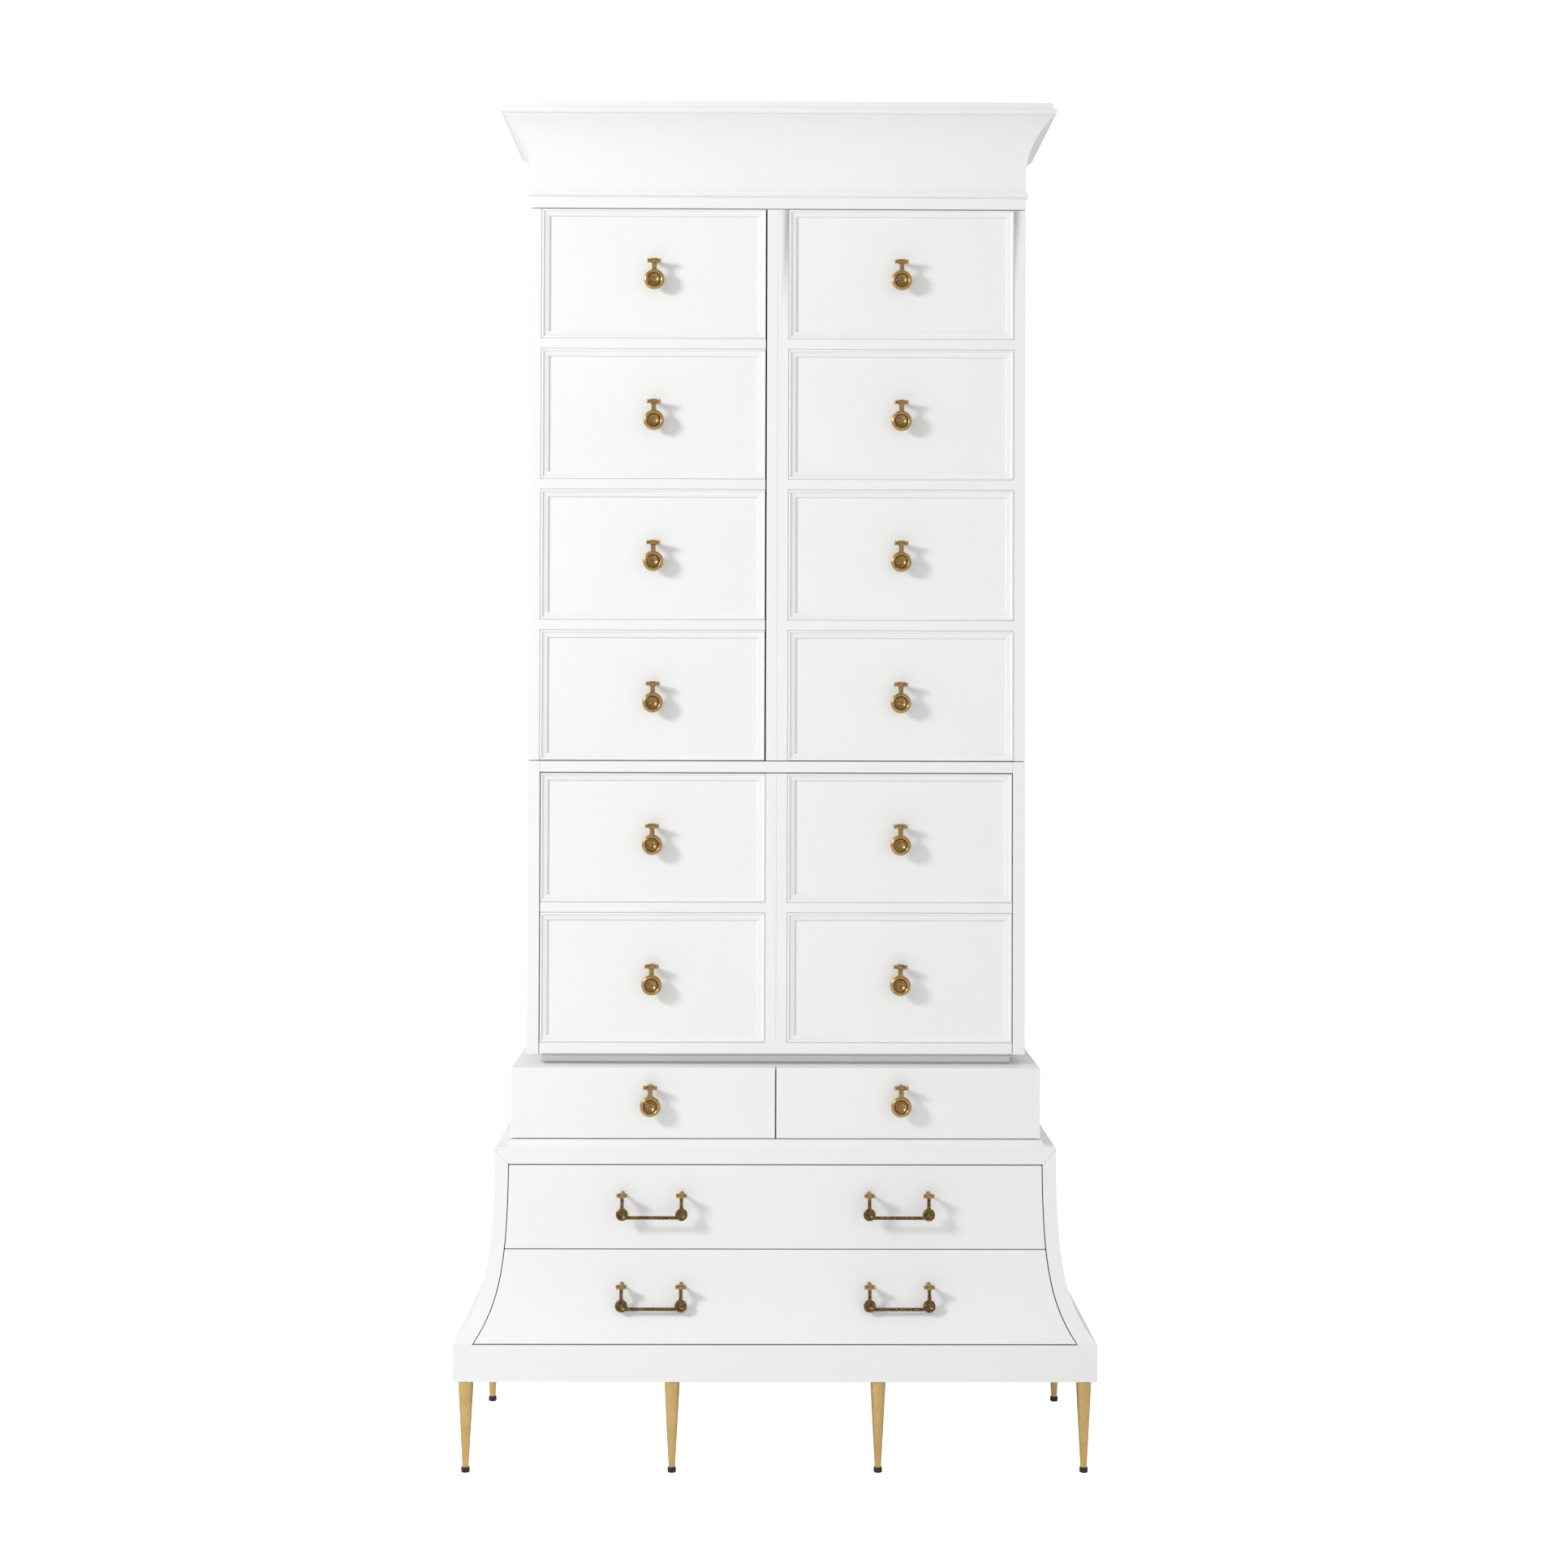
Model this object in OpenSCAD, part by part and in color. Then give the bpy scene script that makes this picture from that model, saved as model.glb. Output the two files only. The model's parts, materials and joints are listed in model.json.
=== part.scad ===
// Tall white painted secretary cabinet on tapered brass legs.
// Stack from the floor up: legs, plinth, flared chest with wide drawers, low tier with small
// drawers, recessed plinth, desk case with a fall front, cupboard with two doors, coved cornice.
// Front faces -Y, up is +Z, origin is on the floor under the middle of the base.

/* [Overall] */
// Width of the base across the plinth rails
base_w = 1120; // [1000:1:1350]
// Depth of the base, front of the rail to the back
base_d = 486; // [440:1:600]
// Width of the desk case and cupboard
case_w = 892; // [800:1:960]
// Setback of the case front behind the front of the base
case_setback = 122; // [112:1:150]

/* [Legs] */
// Height of the legs with their glides
leg_h = 161; // [110:1:220]
// Diameter at the top of a leg
leg_top_d = 27; // [22:0.5:34]
// Diameter at the foot of a leg
leg_foot_d = 11.5; // [9:0.5:16]
// Distance from the outside of the plinth to a leg's axis
leg_inset = 21.5; // [18:0.5:40]
// Height of the glide under a leg
glide_h = 9; // [5:0.5:14]
// Diameter of the glide
glide_d = 15; // [12:0.5:20]
// Height of the dark plate between leg and plinth
leg_plate_h = 2.5; // [1.5:0.5:5]

/* [Plinth] */
// Height of the plinth rails
rail_h = 63.5; // [50:0.5:90]
// Thickness of the plinth rails
rail_t = 20; // [16:0.5:28]

/* [Flared chest] */
// Height of the chest above the plinth
chest_h = 326.5; // [270:0.5:400]
// Run of the flare on the front and on each side
flare_run = 64.5; // [50:0.5:80]
// Height over which the upper part of the flare stays upright
flare_upper = 210; // [150:1:220]
// Length of the straight part at the foot of the flare
flare_lower = 75; // [40:1:100]
// Lean of the flare at its foot, from upright
flare_angle = 39; // [25:1:45]
// Thickness of the chest's boards, measured level
chest_t = 20; // [16:0.5:24]
// Width of the mitred frame at its top
frame_top_w = 24; // [18:0.5:34]
// Width of the mitred frame at its foot
frame_foot_w = 33.5; // [26:0.5:44]
// Height of the upper wide drawer front
upper_drawer_h = 144; // [110:0.5:180]

/* [Ledge moulding] */
// Height of the moulding on top of the chest
ledge_h = 14.5; // [12:0.5:20]
// Step in from the chest to the small drawer tier
ledge_w = 25.5; // [20:0.5:32]

/* [Small drawer tier] */
// Height of the tier
tier_h = 126; // [100:0.5:170]
// Thickness of the tier's boards
tier_t = 18; // [15:0.5:22]

/* [Desk and cupboard] */
// Height of the recessed plinth under the desk case
recess_h = 19.5; // [14:0.5:30]
// Setback of the recessed plinth behind the case
recess_set = 25; // [15:0.5:32]
// Height of the desk case up to the cupboard doors
desk_h = 523.5; // [440:0.5:640]
// Height of the cupboard doorway
door_h = 994; // [800:0.5:1200]
// Thickness of the case sides
side_t = 22; // [18:0.5:28]
// Thickness of the case's level boards
board_t = 20; // [16:0.5:26]
// Thickness of the back boards
back_t = 10; // [6:0.5:14]
// Thickness of a shelf
shelf_t = 20; // [16:0.5:26]
// Rows of panels on a door, with a shelf behind each rail between them
door_rows = 4; // [2:1:4]
// Rows of panels on the fall front
flap_rows = 2; // [1:1:2]

/* [Doors and fall front] */
// Thickness of the doors and the fall front
leaf_t = 22; // [19:0.5:26]
// Width of the flat strip between panels
strip_w = 20.5; // [16:0.5:28]
// Width of the stepped moulding round a panel
mould_w = 12.5; // [9:0.5:18]
// Depth of a panel behind the face
panel_depth = 6; // [4:0.5:9]

/* [Cornice] */
// Overhang of the cornice past the case
cornice_out = 45; // [35:0.5:60]
// Height of the cornice from the case top to its top edge
cornice_h = 164; // [140:0.5:200]
// Radius of the big cove
cove_r = 133; // [120:1:150]
// Height of the flat band at the top edge
band_h = 11; // [8:0.5:16]
// Radius of the bead under the band
bead_r = 6; // [4:0.5:8]
// Height of the small moulding at the foot of the cornice
astragal_h = 13; // [9:0.5:18]
// Thickness of the cornice boards behind the profile
cornice_t = 16; // [12:0.5:22]

/* [Pulls] */
// Distance of a pull from the middle of the cabinet
pull_x = 222; // [190:1:232]
// Half the distance between the two bail pulls of a wide drawer
bail_x = 217; // [190:1:228]
// Height of a drop pull's axis above the middle of its panel
pull_rise = 21; // [10:0.5:35]
// Height of a small drawer pull's axis above the middle of its front
small_pull_rise = 30; // [15:0.5:35]
// Stand-off of a drop pull's axis from the surface that it is fixed to
pull_standoff = 20; // [17:0.5:26]
// Diameter of a drop pull's disc
disc_d = 36.6; // [30:0.2:42]
// Drop from a pull's axis to the middle of its disc
pull_drop = 33.5; // [28:0.5:40]
// Length of the cross bar at the head of a pull
tbar_l = 25.7; // [22:0.1:32]
// Diameter of a pull's pivot pin
pin_d = 3.5; // [2.5:0.1:4.5]
// Spacing of a bail pull's posts
bail_w = 104; // [80:1:128]
// Drop from a bail's axis to the middle of its bosses
bail_drop = 33; // [28:0.5:40]
// Diameter of a bail's bosses
boss_d = 21.5; // [17:0.5:26]
// Diameter of a bail's grip bar
grip_d = 6; // [5:0.2:9]
// Stand-off of a bail's axis from the drawer face
bail_standoff = 25; // [22:0.5:32]

/* [Clearances] */
// Gap round doors, drawers and the fall front
gap = 2.5; // [1.5:0.1:4]
// Gap between the back of a door and the case
back_gap = 1; // [0.8:0.1:2]
// Hairline at a mitre or a painted board joint
joint_gap = 0.2; // [0.1:0.05:0.4]
// Radial clearance of a pin in its bore
pin_fit = 0.05; // [0.02:0.01:0.1]
// Sliding clearance of a drawer box
slide_gap = 1.5; // [1:0.1:3]

/* [Hidden] */

$fn = 48;
WHITE = "whitesmoke";
BRASS = "darkgoldenrod";
BLACK = "dimgray";
WOOD = "burlywood";

// Levels from the floor up
plinth_z = leg_h;
chest_z = plinth_z + rail_h;
ledge_z = chest_z + chest_h;
tier_z = ledge_z + ledge_h;
recess_z = tier_z + tier_h;
case_z = recess_z + recess_h;
doors_z = case_z + desk_h;
top_z = doors_z + door_h;
cornice_z = top_z + board_t;

// Planes from front to back
front = -base_d / 2;
back = base_d / 2;
chest_face = front + flare_run;
tier_face = chest_face + ledge_w;
case_face = front + case_setback;
leaf_back = case_face + leaf_t;
case_front = leaf_back + back_gap;
panel_face = case_face + panel_depth;

// Half widths
base_x = base_w / 2;
chest_x = base_x - flare_run;
tier_x = chest_x - ledge_w;
case_x = case_w / 2;
inner_x = case_x - side_t;

// Chest openings
chest_top_rail_z = chest_z + chest_h - frame_top_w - 1;
upper_drawer_z1 = chest_top_rail_z - gap;
upper_drawer_z0 = upper_drawer_z1 - upper_drawer_h;
lower_drawer_z1 = upper_drawer_z0 - gap;
lower_drawer_z0 = chest_z + gap;
liner_t = 12;
liner_x = chest_x - frame_top_w - gap - liner_t;
dust_t = 8;
dust_set = 10;
box_t = 12;
box_base_t = 6;
box_back_gap = 6;
ledge_back = 4;
run_gap = 0.5;
box_low = 10;

// Leaf sizes: the meeting line of the doors is the left edge of the centre strips
meet_x = -strip_w;
door_z0 = doors_z + gap * 0.6;
door_z1 = top_z - gap * 0.6;
flap_z0 = case_z + gap * 0.6;
flap_z1 = doors_z - board_t - gap * 0.6;
door_panel_h = (door_z1 - door_z0 - (door_rows - 1) * strip_w) / door_rows;
flap_panel_h = (flap_z1 - flap_z0 - flap_rows * strip_w) / flap_rows;
step_in = 3.5;
step_depth = 2.5;
groove_w = 1.8;
seam_w = 0.8;

// Pivots of the doors and of the fall front
pivot_r = 2;
pivot_x = case_x - 4;
pivot_y = leaf_back - 5;
pivot_l = 10;
plate_t = 1;
bush_t = 3;
plate_l = 30;
corner_cut = 3;
catch_x = 55;
catch_l = 30;
catch_w = 16;
catch_h = 10;
flap_pivot_y = case_face + leaf_t / 2;
flap_pivot_z = flap_z0 + 6;
flap_x = inner_x - gap * 0.6;

// Flare: one curve serves the front and both sides
flare_n = 20;
flare_controls = [[flare_run, chest_h], [flare_run, chest_h - flare_upper],
                  [flare_lower * sin(flare_angle), flare_lower * cos(flare_angle)], [0, 0]];
function bezier(c, t) = pow(1 - t, 3) * c[0] + 3 * pow(1 - t, 2) * t * c[1]
    + 3 * (1 - t) * t * t * c[2] + pow(t, 3) * c[3];
function flare_points() = [for (i = [0 : flare_n]) bezier(flare_controls, i / flare_n)];
function flare_t(h, lo = 0, hi = 1, n = 24) = n == 0 ? (lo + hi) / 2 :
    bezier(flare_controls, (lo + hi) / 2)[1] > h ? flare_t(h, (lo + hi) / 2, hi, n - 1)
    : flare_t(h, lo, (lo + hi) / 2, n - 1);
// How far the chest's face lies behind its foot, at a height z
function flare_at(z) = bezier(flare_controls, flare_t(z - chest_z))[0];
// Width of the mitred frame where the flare has run a distance o
function frame_w(o) = frame_foot_w + (frame_top_w - frame_foot_w) * o / flare_run;
function reversed(v) = [for (i = [len(v) - 1 : -1 : 0]) v[i]];
function arc_points(cx, cy, r, a0, a1, n) =
    [for (i = [0 : n]) [cx + r * cos(a0 + (a1 - a0) * i / n), cy + r * sin(a0 + (a1 - a0) * i / n)]];

// A board between two corners
module board(x0, x1, y0, y1, z0, z1) {
    translate([x0, y0, z0])
        cube([x1 - x0, y1 - y0, z1 - z0]);
}

module both_sides() {
    children();
    mirror([1, 0, 0])
        children();
}

// A (Y, Z) outline drawn out across the width
module across(x0, x1) {
    translate([x0, 0, 0])
        rotate([90, 0, 90])
            linear_extrude(x1 - x0)
                children();
}

// An (X, Z) outline drawn out from front to back
module deep(y0, y1) {
    translate([0, y1, 0])
        rotate([90, 0, 0])
            linear_extrude(y1 - y0)
                children();
}

// Three mitred lengths of moulding round the front and the sides of a box.
// The outline has its x outwards from the box's faces and its y upwards.
module mitred_runs(half_w, face, reach, t, h) {
    far = half_w + reach;
    near = face - reach;
    hair = joint_gap / 2;
    intersection() {
        across(-far, far)
            translate([face, 0])
                mirror([1, 0])
                    children();
        linear_extrude(h)
            polygon([[-far + hair, near], [far - hair, near],
                     [half_w - t - hair, face + t], [-half_w + t + hair, face + t]]);
    }
    both_sides()
        intersection() {
            deep(near, back)
                translate([half_w, 0])
                    children();
            linear_extrude(h)
                polygon([[far, near + hair], [far, back], [half_w - t, back], [half_w - t, face + t + hair]]);
        }
}

// ---------------------------------------------------------------- legs and plinth
module at_legs() {
    for (x = [-3, -1, 1, 3])
        translate([x / 3 * (base_x - leg_inset), front + leg_inset, 0])
            children();
    for (x = [-1, 1])
        translate([x * (base_x - leg_inset), back - leg_inset, 0])
            children();
}

module glides() {
    color(BLACK)
        at_legs()
            rotate_extrude()
                polygon(concat([[0, 0], [glide_d / 2 - 1.5, 0]],
                    arc_points(glide_d / 2 - 1.5, 1.5, 1.5, -90, 0, 4),
                    [[glide_d / 2, glide_h - 1], [glide_d / 2 - 1, glide_h], [0, glide_h]]));
}

module legs() {
    plate_z = leg_h - leg_plate_h;
    color(BRASS)
        at_legs()
            rotate_extrude()
                polygon([[0, glide_h], [leg_foot_d / 2, glide_h], [leg_top_d / 2 - 0.4, plate_z - 0.8],
                         [leg_top_d / 2 - 1.2, plate_z], [leg_top_d / 2 - 2.5, plate_z],
                         [leg_top_d / 2 - 2.5, leg_h], [0, leg_h]]);
}

module plinth_rails() {
    color(WHITE) {
        translate([0, 0, plinth_z])
            mitred_runs(base_x, front, 0, rail_t, rail_h)
                translate([-rail_t, 0])
                    square([rail_t, rail_h]);
        board(-base_x + rail_t + joint_gap, base_x - rail_t - joint_gap,
              back - rail_t, back, plinth_z, chest_z);
    }
}

module plinth_deck() {
    inside_x = base_x - rail_t - joint_gap;
    color(WOOD)
        board(-inside_x, inside_x, front + rail_t + joint_gap, back - rail_t - joint_gap,
              plinth_z, plinth_z + board_t);
}

// ---------------------------------------------------------------- flared chest
// The curved skin on the front of the chest, from its face to a depth d behind it
module front_skin(d0, d1) {
    curve = flare_points();
    across(-base_x, base_x)
        polygon(concat([for (p = curve) [front + p[0] + d0, chest_z + p[1]]],
                       [for (p = reversed(curve)) [front + p[0] + d1, chest_z + p[1]]]));
}

// Everything behind a depth d of the curved face, as far as the back
module behind_face(d, y1) {
    curve = flare_points();
    across(-base_x, base_x)
        polygon(concat([for (p = curve) [front + p[0] + d, chest_z + p[1]]],
                       [[y1, chest_z], [y1, chest_z + chest_h]]));
}

module chest_sides() {
    curve = flare_points();
    color(WHITE)
        both_sides()
            intersection() {
                deep(front, back)
                    polygon(concat([for (p = curve) [base_x - p[0], chest_z + p[1]]],
                                   [for (p = reversed(curve)) [base_x - p[0] - chest_t, chest_z + p[1]]]));
                behind_face(chest_t + joint_gap, back);
            }
}

module chest_frame() {
    curve = flare_points();
    mitre = [[chest_x, ledge_z], [chest_x - frame_top_w, chest_top_rail_z]];
    color(WHITE) {
        both_sides()
            intersection() {
                front_skin(0, chest_t);
                deep(front, back)
                    difference() {
                        polygon(concat([for (p = curve) [base_x - p[0], chest_z + p[1]]],
                            [for (p = reversed(curve)) [base_x - p[0] - frame_w(p[0]), chest_z + p[1]]]));
                        polygon([[0, ledge_z], mitre[0], mitre[1], [0, chest_top_rail_z]]);
                    }
            }
        intersection() {
            front_skin(0, chest_t);
            deep(front, back)
                polygon([[-mitre[0][0] + joint_gap, ledge_z], [mitre[0][0] - joint_gap, ledge_z],
                         [mitre[1][0] - joint_gap, chest_top_rail_z],
                         [-mitre[1][0] + joint_gap, chest_top_rail_z]]);
        }
    }
}

module chest_bottom() {
    inside_x = base_x - rail_t - joint_gap;
    color(WOOD)
        board(-inside_x, inside_x, front + rail_t + joint_gap, back - rail_t - joint_gap,
              chest_z - board_t, chest_z);
}

// Two upright boards that guide the drawers, and the dust board between the drawers
module drawer_bay_boards() {
    color(WOOD) {
        both_sides()
            intersection() {
                behind_face(chest_t + back_gap, back - back_t - joint_gap);
                board(liner_x, liner_x + liner_t, front, back, chest_z, ledge_z - joint_gap);
            }
        board(-liner_x + joint_gap, liner_x - joint_gap,
              front + flare_at(lower_drawer_z1) + chest_t + dust_set, back - back_t - joint_gap,
              upper_drawer_z0 - dust_t, upper_drawer_z0);
    }
}

module chest_back() {
    curve = flare_points();
    w = chest_t + joint_gap;
    color(WOOD)
        deep(back - back_t, back)
            polygon(concat([for (p = curve) [base_x - p[0] - w, chest_z + p[1]]],
                           [for (p = reversed(curve)) [-base_x + p[0] + w, chest_z + p[1]]]));
}

module chest_top() {
    inset = ledge_back + joint_gap;
    color(WHITE)
        board(-tier_x + inset, tier_x - inset, tier_face + inset, back, ledge_z, tier_z);
}

module ledge_moulding() {
    lip = 4;
    bead = 2.5;
    run = ledge_w - 2 * bead;
    rise = ledge_h - lip - bead;
    color(WHITE)
        translate([0, 0, ledge_z])
            mitred_runs(tier_x, tier_face, ledge_w, ledge_back, ledge_h)
                polygon(concat([[-ledge_back, 0], [ledge_w, 0], [ledge_w, lip]],
                    [for (p = arc_points(0, 0, 1, -90, -180, 6))
                        [ledge_w - bead + p[0] * run, lip + rise * (1 + p[1])]],
                    [[bead, ledge_h], [-ledge_back, ledge_h]]));
}

// A wide drawer front: a slice of the curved skin inside the mitred frame
module wide_front(z0, z1) {
    curve = flare_points();
    edge = [for (p = curve) [base_x - p[0] - frame_w(p[0]) - gap, chest_z + p[1]]];
    color(WHITE)
        intersection() {
            front_skin(0, chest_t);
            deep(front, back)
                polygon(concat(edge, [for (p = reversed(edge)) [-p[0], p[1]]]));
            board(-base_x, base_x, front, back, z0, z1);
        }
}

// A wide drawer box: open at the top, closed in front by the curved front
module wide_box(z0, z1) {
    x = liner_x - slide_gap;
    y1 = back - back_t - box_back_gap;
    color(WOOD)
        intersection() {
            behind_face(chest_t, back);
            difference() {
                board(-x, x, front, y1, z0, z1);
                board(-x + box_t, x - box_t, front - 1, y1 - box_t, z0 + box_base_t, z1 + 1);
            }
        }
}

upper_box = [upper_drawer_z0 + run_gap, upper_drawer_z1 - box_low];
lower_box = [chest_z + run_gap, upper_drawer_z0 - dust_t - box_low];
module upper_wide_front() { wide_front(upper_drawer_z0, upper_drawer_z1); }
module lower_wide_front() { wide_front(lower_drawer_z0, lower_drawer_z1); }
module upper_wide_box() { wide_box(upper_box[0], upper_box[1]); }
module lower_wide_box() { wide_box(lower_box[0], lower_box[1]); }

// ---------------------------------------------------------------- small drawer tier
small_z0 = tier_z + gap * 0.6;
small_z1 = recess_z;
small_back = tier_face + chest_t;
divider_x = tier_t / 2;
small_inner_z1 = recess_z - tier_t;

module tier_uprights() {
    y0 = small_back + back_gap;
    color(WHITE) {
        both_sides()
            board(tier_x - tier_t, tier_x, y0, back, tier_z, small_inner_z1);
        board(-divider_x, divider_x, y0, back - back_t - joint_gap, tier_z, small_inner_z1);
    }
}

module tier_back() {
    x = tier_x - tier_t - joint_gap;
    color(WOOD)
        board(-x, x, back - back_t, back, tier_z, small_inner_z1);
}

module tier_top() {
    color(WHITE)
        board(-tier_x, tier_x, small_back + back_gap, back, small_inner_z1, recess_z);
}

// side is -1 for the left drawer and 1 for the right
module small_front(side) {
    color(WHITE)
        mirror([side < 0 ? 1 : 0, 0, 0])
            board(gap / 2, tier_x, tier_face, small_back, small_z0, small_z1);
}

module small_box(side) {
    x0 = divider_x + slide_gap;
    x1 = tier_x - tier_t - slide_gap;
    y1 = back - back_t - box_back_gap;
    z0 = tier_z + run_gap;
    z1 = small_inner_z1 - box_low;
    color(WOOD)
        mirror([side < 0 ? 1 : 0, 0, 0])
            difference() {
                board(x0, x1, small_back, y1, z0, z1);
                board(x0 + box_t, x1 - box_t, small_back - 1, y1 - box_t, z0 + box_base_t, z1 + 1);
            }
}

module small_left_front() { small_front(-1); }
module small_right_front() { small_front(1); }
module small_left_box() { small_box(-1); }
module small_right_box() { small_box(1); }

// ---------------------------------------------------------------- desk case and cupboard
module recessed_plinth() {
    t = 16;
    foot = 3.5;
    color(WHITE)
        translate([0, 0, recess_z])
            mitred_runs(case_x - recess_set, case_face + recess_set, 0, t, recess_h)
                polygon([[-t, 0], [-6, 0], [-6, foot], [0, foot], [0, recess_h - 6], [-3, recess_h - 3],
                         [-3, recess_h], [-t, recess_h]]);
}

module case_sides() {
    color(WHITE)
        both_sides()
            across(inner_x, case_x)
                polygon([[case_face, case_z], [back, case_z], [back, top_z],
                         [case_front, top_z], [case_front, doors_z], [case_face, doors_z]]);
}

module case_bottom() {
    x = inner_x - joint_gap;
    color(WHITE)
        board(-x, x, leaf_back + 2, back - back_t - joint_gap, case_z, case_z + board_t);
}

module case_middle() {
    x = inner_x - joint_gap;
    color(WHITE)
        board(-x, x, case_face, back - back_t - joint_gap, doors_z - board_t, doors_z);
}

module case_top() {
    color(WHITE)
        board(-case_x, case_x, case_face, back, top_z, cornice_z);
}

module case_back() {
    x = inner_x - joint_gap;
    color(WOOD)
        board(-x, x, back - back_t, back, case_z, top_z);
}

module shelves() {
    x = inner_x - joint_gap;
    color(WHITE)
        for (row = [1 : door_rows - 1]) {
            z = door_z0 + row * (door_panel_h + strip_w) - strip_w / 2;
            board(-x, x, case_front + 4, back - back_t - joint_gap, z - shelf_t / 2, z + shelf_t / 2);
        }
}

// ---------------------------------------------------------------- doors and fall front
// Cuts the groove, the stepped moulding and the sunk panel of one bay into a leaf's face
module panel_cut(x0, x1, z0, z1) {
    cut_y = case_face - 1;
    difference() {
        board(x0 - groove_w, x1 + groove_w, cut_y, case_face + step_depth, z0 - groove_w, z1 + groove_w);
        board(x0, x1, cut_y - 1, leaf_back, z0, z1);
    }
    board(x0 + step_in, x1 - step_in, cut_y, case_face + step_depth, z0 + step_in, z1 - step_in);
    board(x0 + mould_w, x1 - mould_w, cut_y, panel_face, z0 + mould_w, z1 - mould_w);
}

// Decorative joint down the middle of the centre strips
module seam_cut(z0, z1) {
    board(-seam_w / 2, seam_w / 2, case_face - 1, case_face + seam_w, z0, z1);
}

// Bevel that lets the hinged edge turn past the case, down the left edge of a left door
module door_corner_cut() {
    linear_extrude(top_z + 1)
        polygon([[-case_x - 1, leaf_back + 1], [-case_x - 1, leaf_back - corner_cut - 1],
                 [-case_x + corner_cut + 1, leaf_back + 1]]);
}

// Holes and beds for the pivot plates at both ends of a left door's hinged edge
module door_plate(r) {
    difference() {
        board(-case_x + 1.6, -case_x + plate_l, leaf_back - 10, leaf_back - 2, 0, bush_t);
        translate([-pivot_x, pivot_y, -1])
            cylinder(r = r, h = bush_t + 2);
    }
}

module door_pivot_cut() {
    for (z = [door_z0, door_z1 - bush_t])
        translate([0, 0, z])
            board(-case_x + 1.6, -case_x + plate_l, leaf_back - 10, leaf_back - 2,
                  -joint_gap, bush_t + joint_gap);
    for (z = [door_z0 - 1, door_z1 - pivot_l - 1])
        translate([-pivot_x, pivot_y, z])
            cylinder(r = pivot_r + 0.4, h = pivot_l + 2);
}

function door_row_z(row) = door_z1 - row * door_panel_h - (row - 1) * strip_w;
function flap_row_z(row) = flap_z1 - row * flap_panel_h - (row - 1) * strip_w;

module left_door() {
    x1 = meet_x - gap / 2;
    color(WHITE)
        difference() {
            board(-case_x, x1, case_face, leaf_back, door_z0, door_z1);
            for (row = [1 : door_rows])
                panel_cut(-inner_x, x1, door_row_z(row), door_row_z(row) + door_panel_h);
            door_corner_cut();
            door_pivot_cut();
        }
}

module right_door() {
    color(WHITE)
        difference() {
            board(meet_x + gap / 2, case_x, case_face, leaf_back, door_z0, door_z1);
            for (row = [1 : door_rows])
                panel_cut(strip_w, inner_x, door_row_z(row), door_row_z(row) + door_panel_h);
            seam_cut(door_z0 - 1, door_z1 + 1);
            mirror([1, 0, 0]) {
                door_corner_cut();
                door_pivot_cut();
            }
        }
}

module fall_front() {
    seam_z = flap_z0 + strip_w;
    color(WHITE)
        difference() {
            board(-flap_x, flap_x, case_face, leaf_back, flap_z0, flap_z1);
            for (row = [1 : flap_rows]) {
                panel_cut(-flap_x, -strip_w, flap_row_z(row), flap_row_z(row) + flap_panel_h);
                panel_cut(strip_w, flap_x, flap_row_z(row), flap_row_z(row) + flap_panel_h);
            }
            seam_cut(seam_z, flap_z1 + 1);
            both_sides() {
                translate([-flap_x - joint_gap, flap_pivot_y, flap_pivot_z])
                    rotate([0, 90, 0])
                        cylinder(r = pivot_r + 0.4, h = pivot_l);
                translate([-flap_x, flap_pivot_y, flap_pivot_z])
                    board(-1, bush_t + joint_gap, -7 - joint_gap, 7 + joint_gap,
                          -4.5 - joint_gap, 18 + joint_gap);
            }
        }
}

// ---------------------------------------------------------------- pulls
neck_w = 10.3;
bail_tbar_l = 19.9;
arm_w = 7.4;
eye_r = 4.6;
eye_side_gap = 0.4;
eye_back_gap = 1.2;
yoke_t = 2.3;
yoke_h = 4.4;
stem_r = 3;
rosette_r = 3.6;
rosette_t = 1.5;
knob_r = 3.9;
face_bed = 4;
disc_t = 7;
neck_t = 3.4;
boss_t = 7;
grip_sink = boss_d * 0.26;

// Fixed head of a pull: rosette and stem, yoke, and a pivot pin that ends in two knobs.
// The pin's axis is local X through the origin, the mounting surface lies at y = stand,
// and the rosette runs on behind it by a depth bed.
module pull_head(stand, bar_l, eye_w, bed) {
    arm_x = eye_w / 2 + eye_side_gap;
    arm_x1 = arm_x + yoke_t;
    yoke_y = eye_r + eye_back_gap;
    yoke_y1 = yoke_y + yoke_t;
    end_x = bar_l / 2;
    stem_l = stand - yoke_y1 + yoke_t / 2;
    linear_extrude(yoke_h, center = true)
        polygon([[-arm_x1, -1], [-arm_x, -1], [-arm_x, yoke_y], [arm_x, yoke_y], [arm_x, -1],
                 [arm_x1, -1], [arm_x1, yoke_y1], [-arm_x1, yoke_y1]]);
    for (turn = [90, -90])
        rotate([0, turn, 0])
            rotate_extrude()
                polygon([[0, arm_x + 0.3], [knob_r - 0.8, arm_x + 0.3], [knob_r, arm_x + 1.2],
                         [knob_r, end_x - 1.6], [knob_r - 1.4, end_x], [0, end_x]]);
    rotate([0, 90, 0])
        cylinder(r = pin_d / 2, h = 2 * arm_x1, center = true);
    translate([0, stand, 0])
        rotate([90, 0, 0])
            rotate_extrude()
                polygon([[0, -bed], [rosette_r, -bed], [rosette_r, rosette_t], [stem_r, rosette_t],
                         [stem_r, stem_l], [0, stem_l]]);
}

// Eye that turns on the pin
module eye_solid(w) {
    rotate([0, 90, 0])
        cylinder(r = eye_r, h = w, center = true);
}

module eye_bore(w) {
    rotate([0, 90, 0])
        cylinder(r = pin_d / 2 + pin_fit, h = w + 2, center = true);
}

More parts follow.
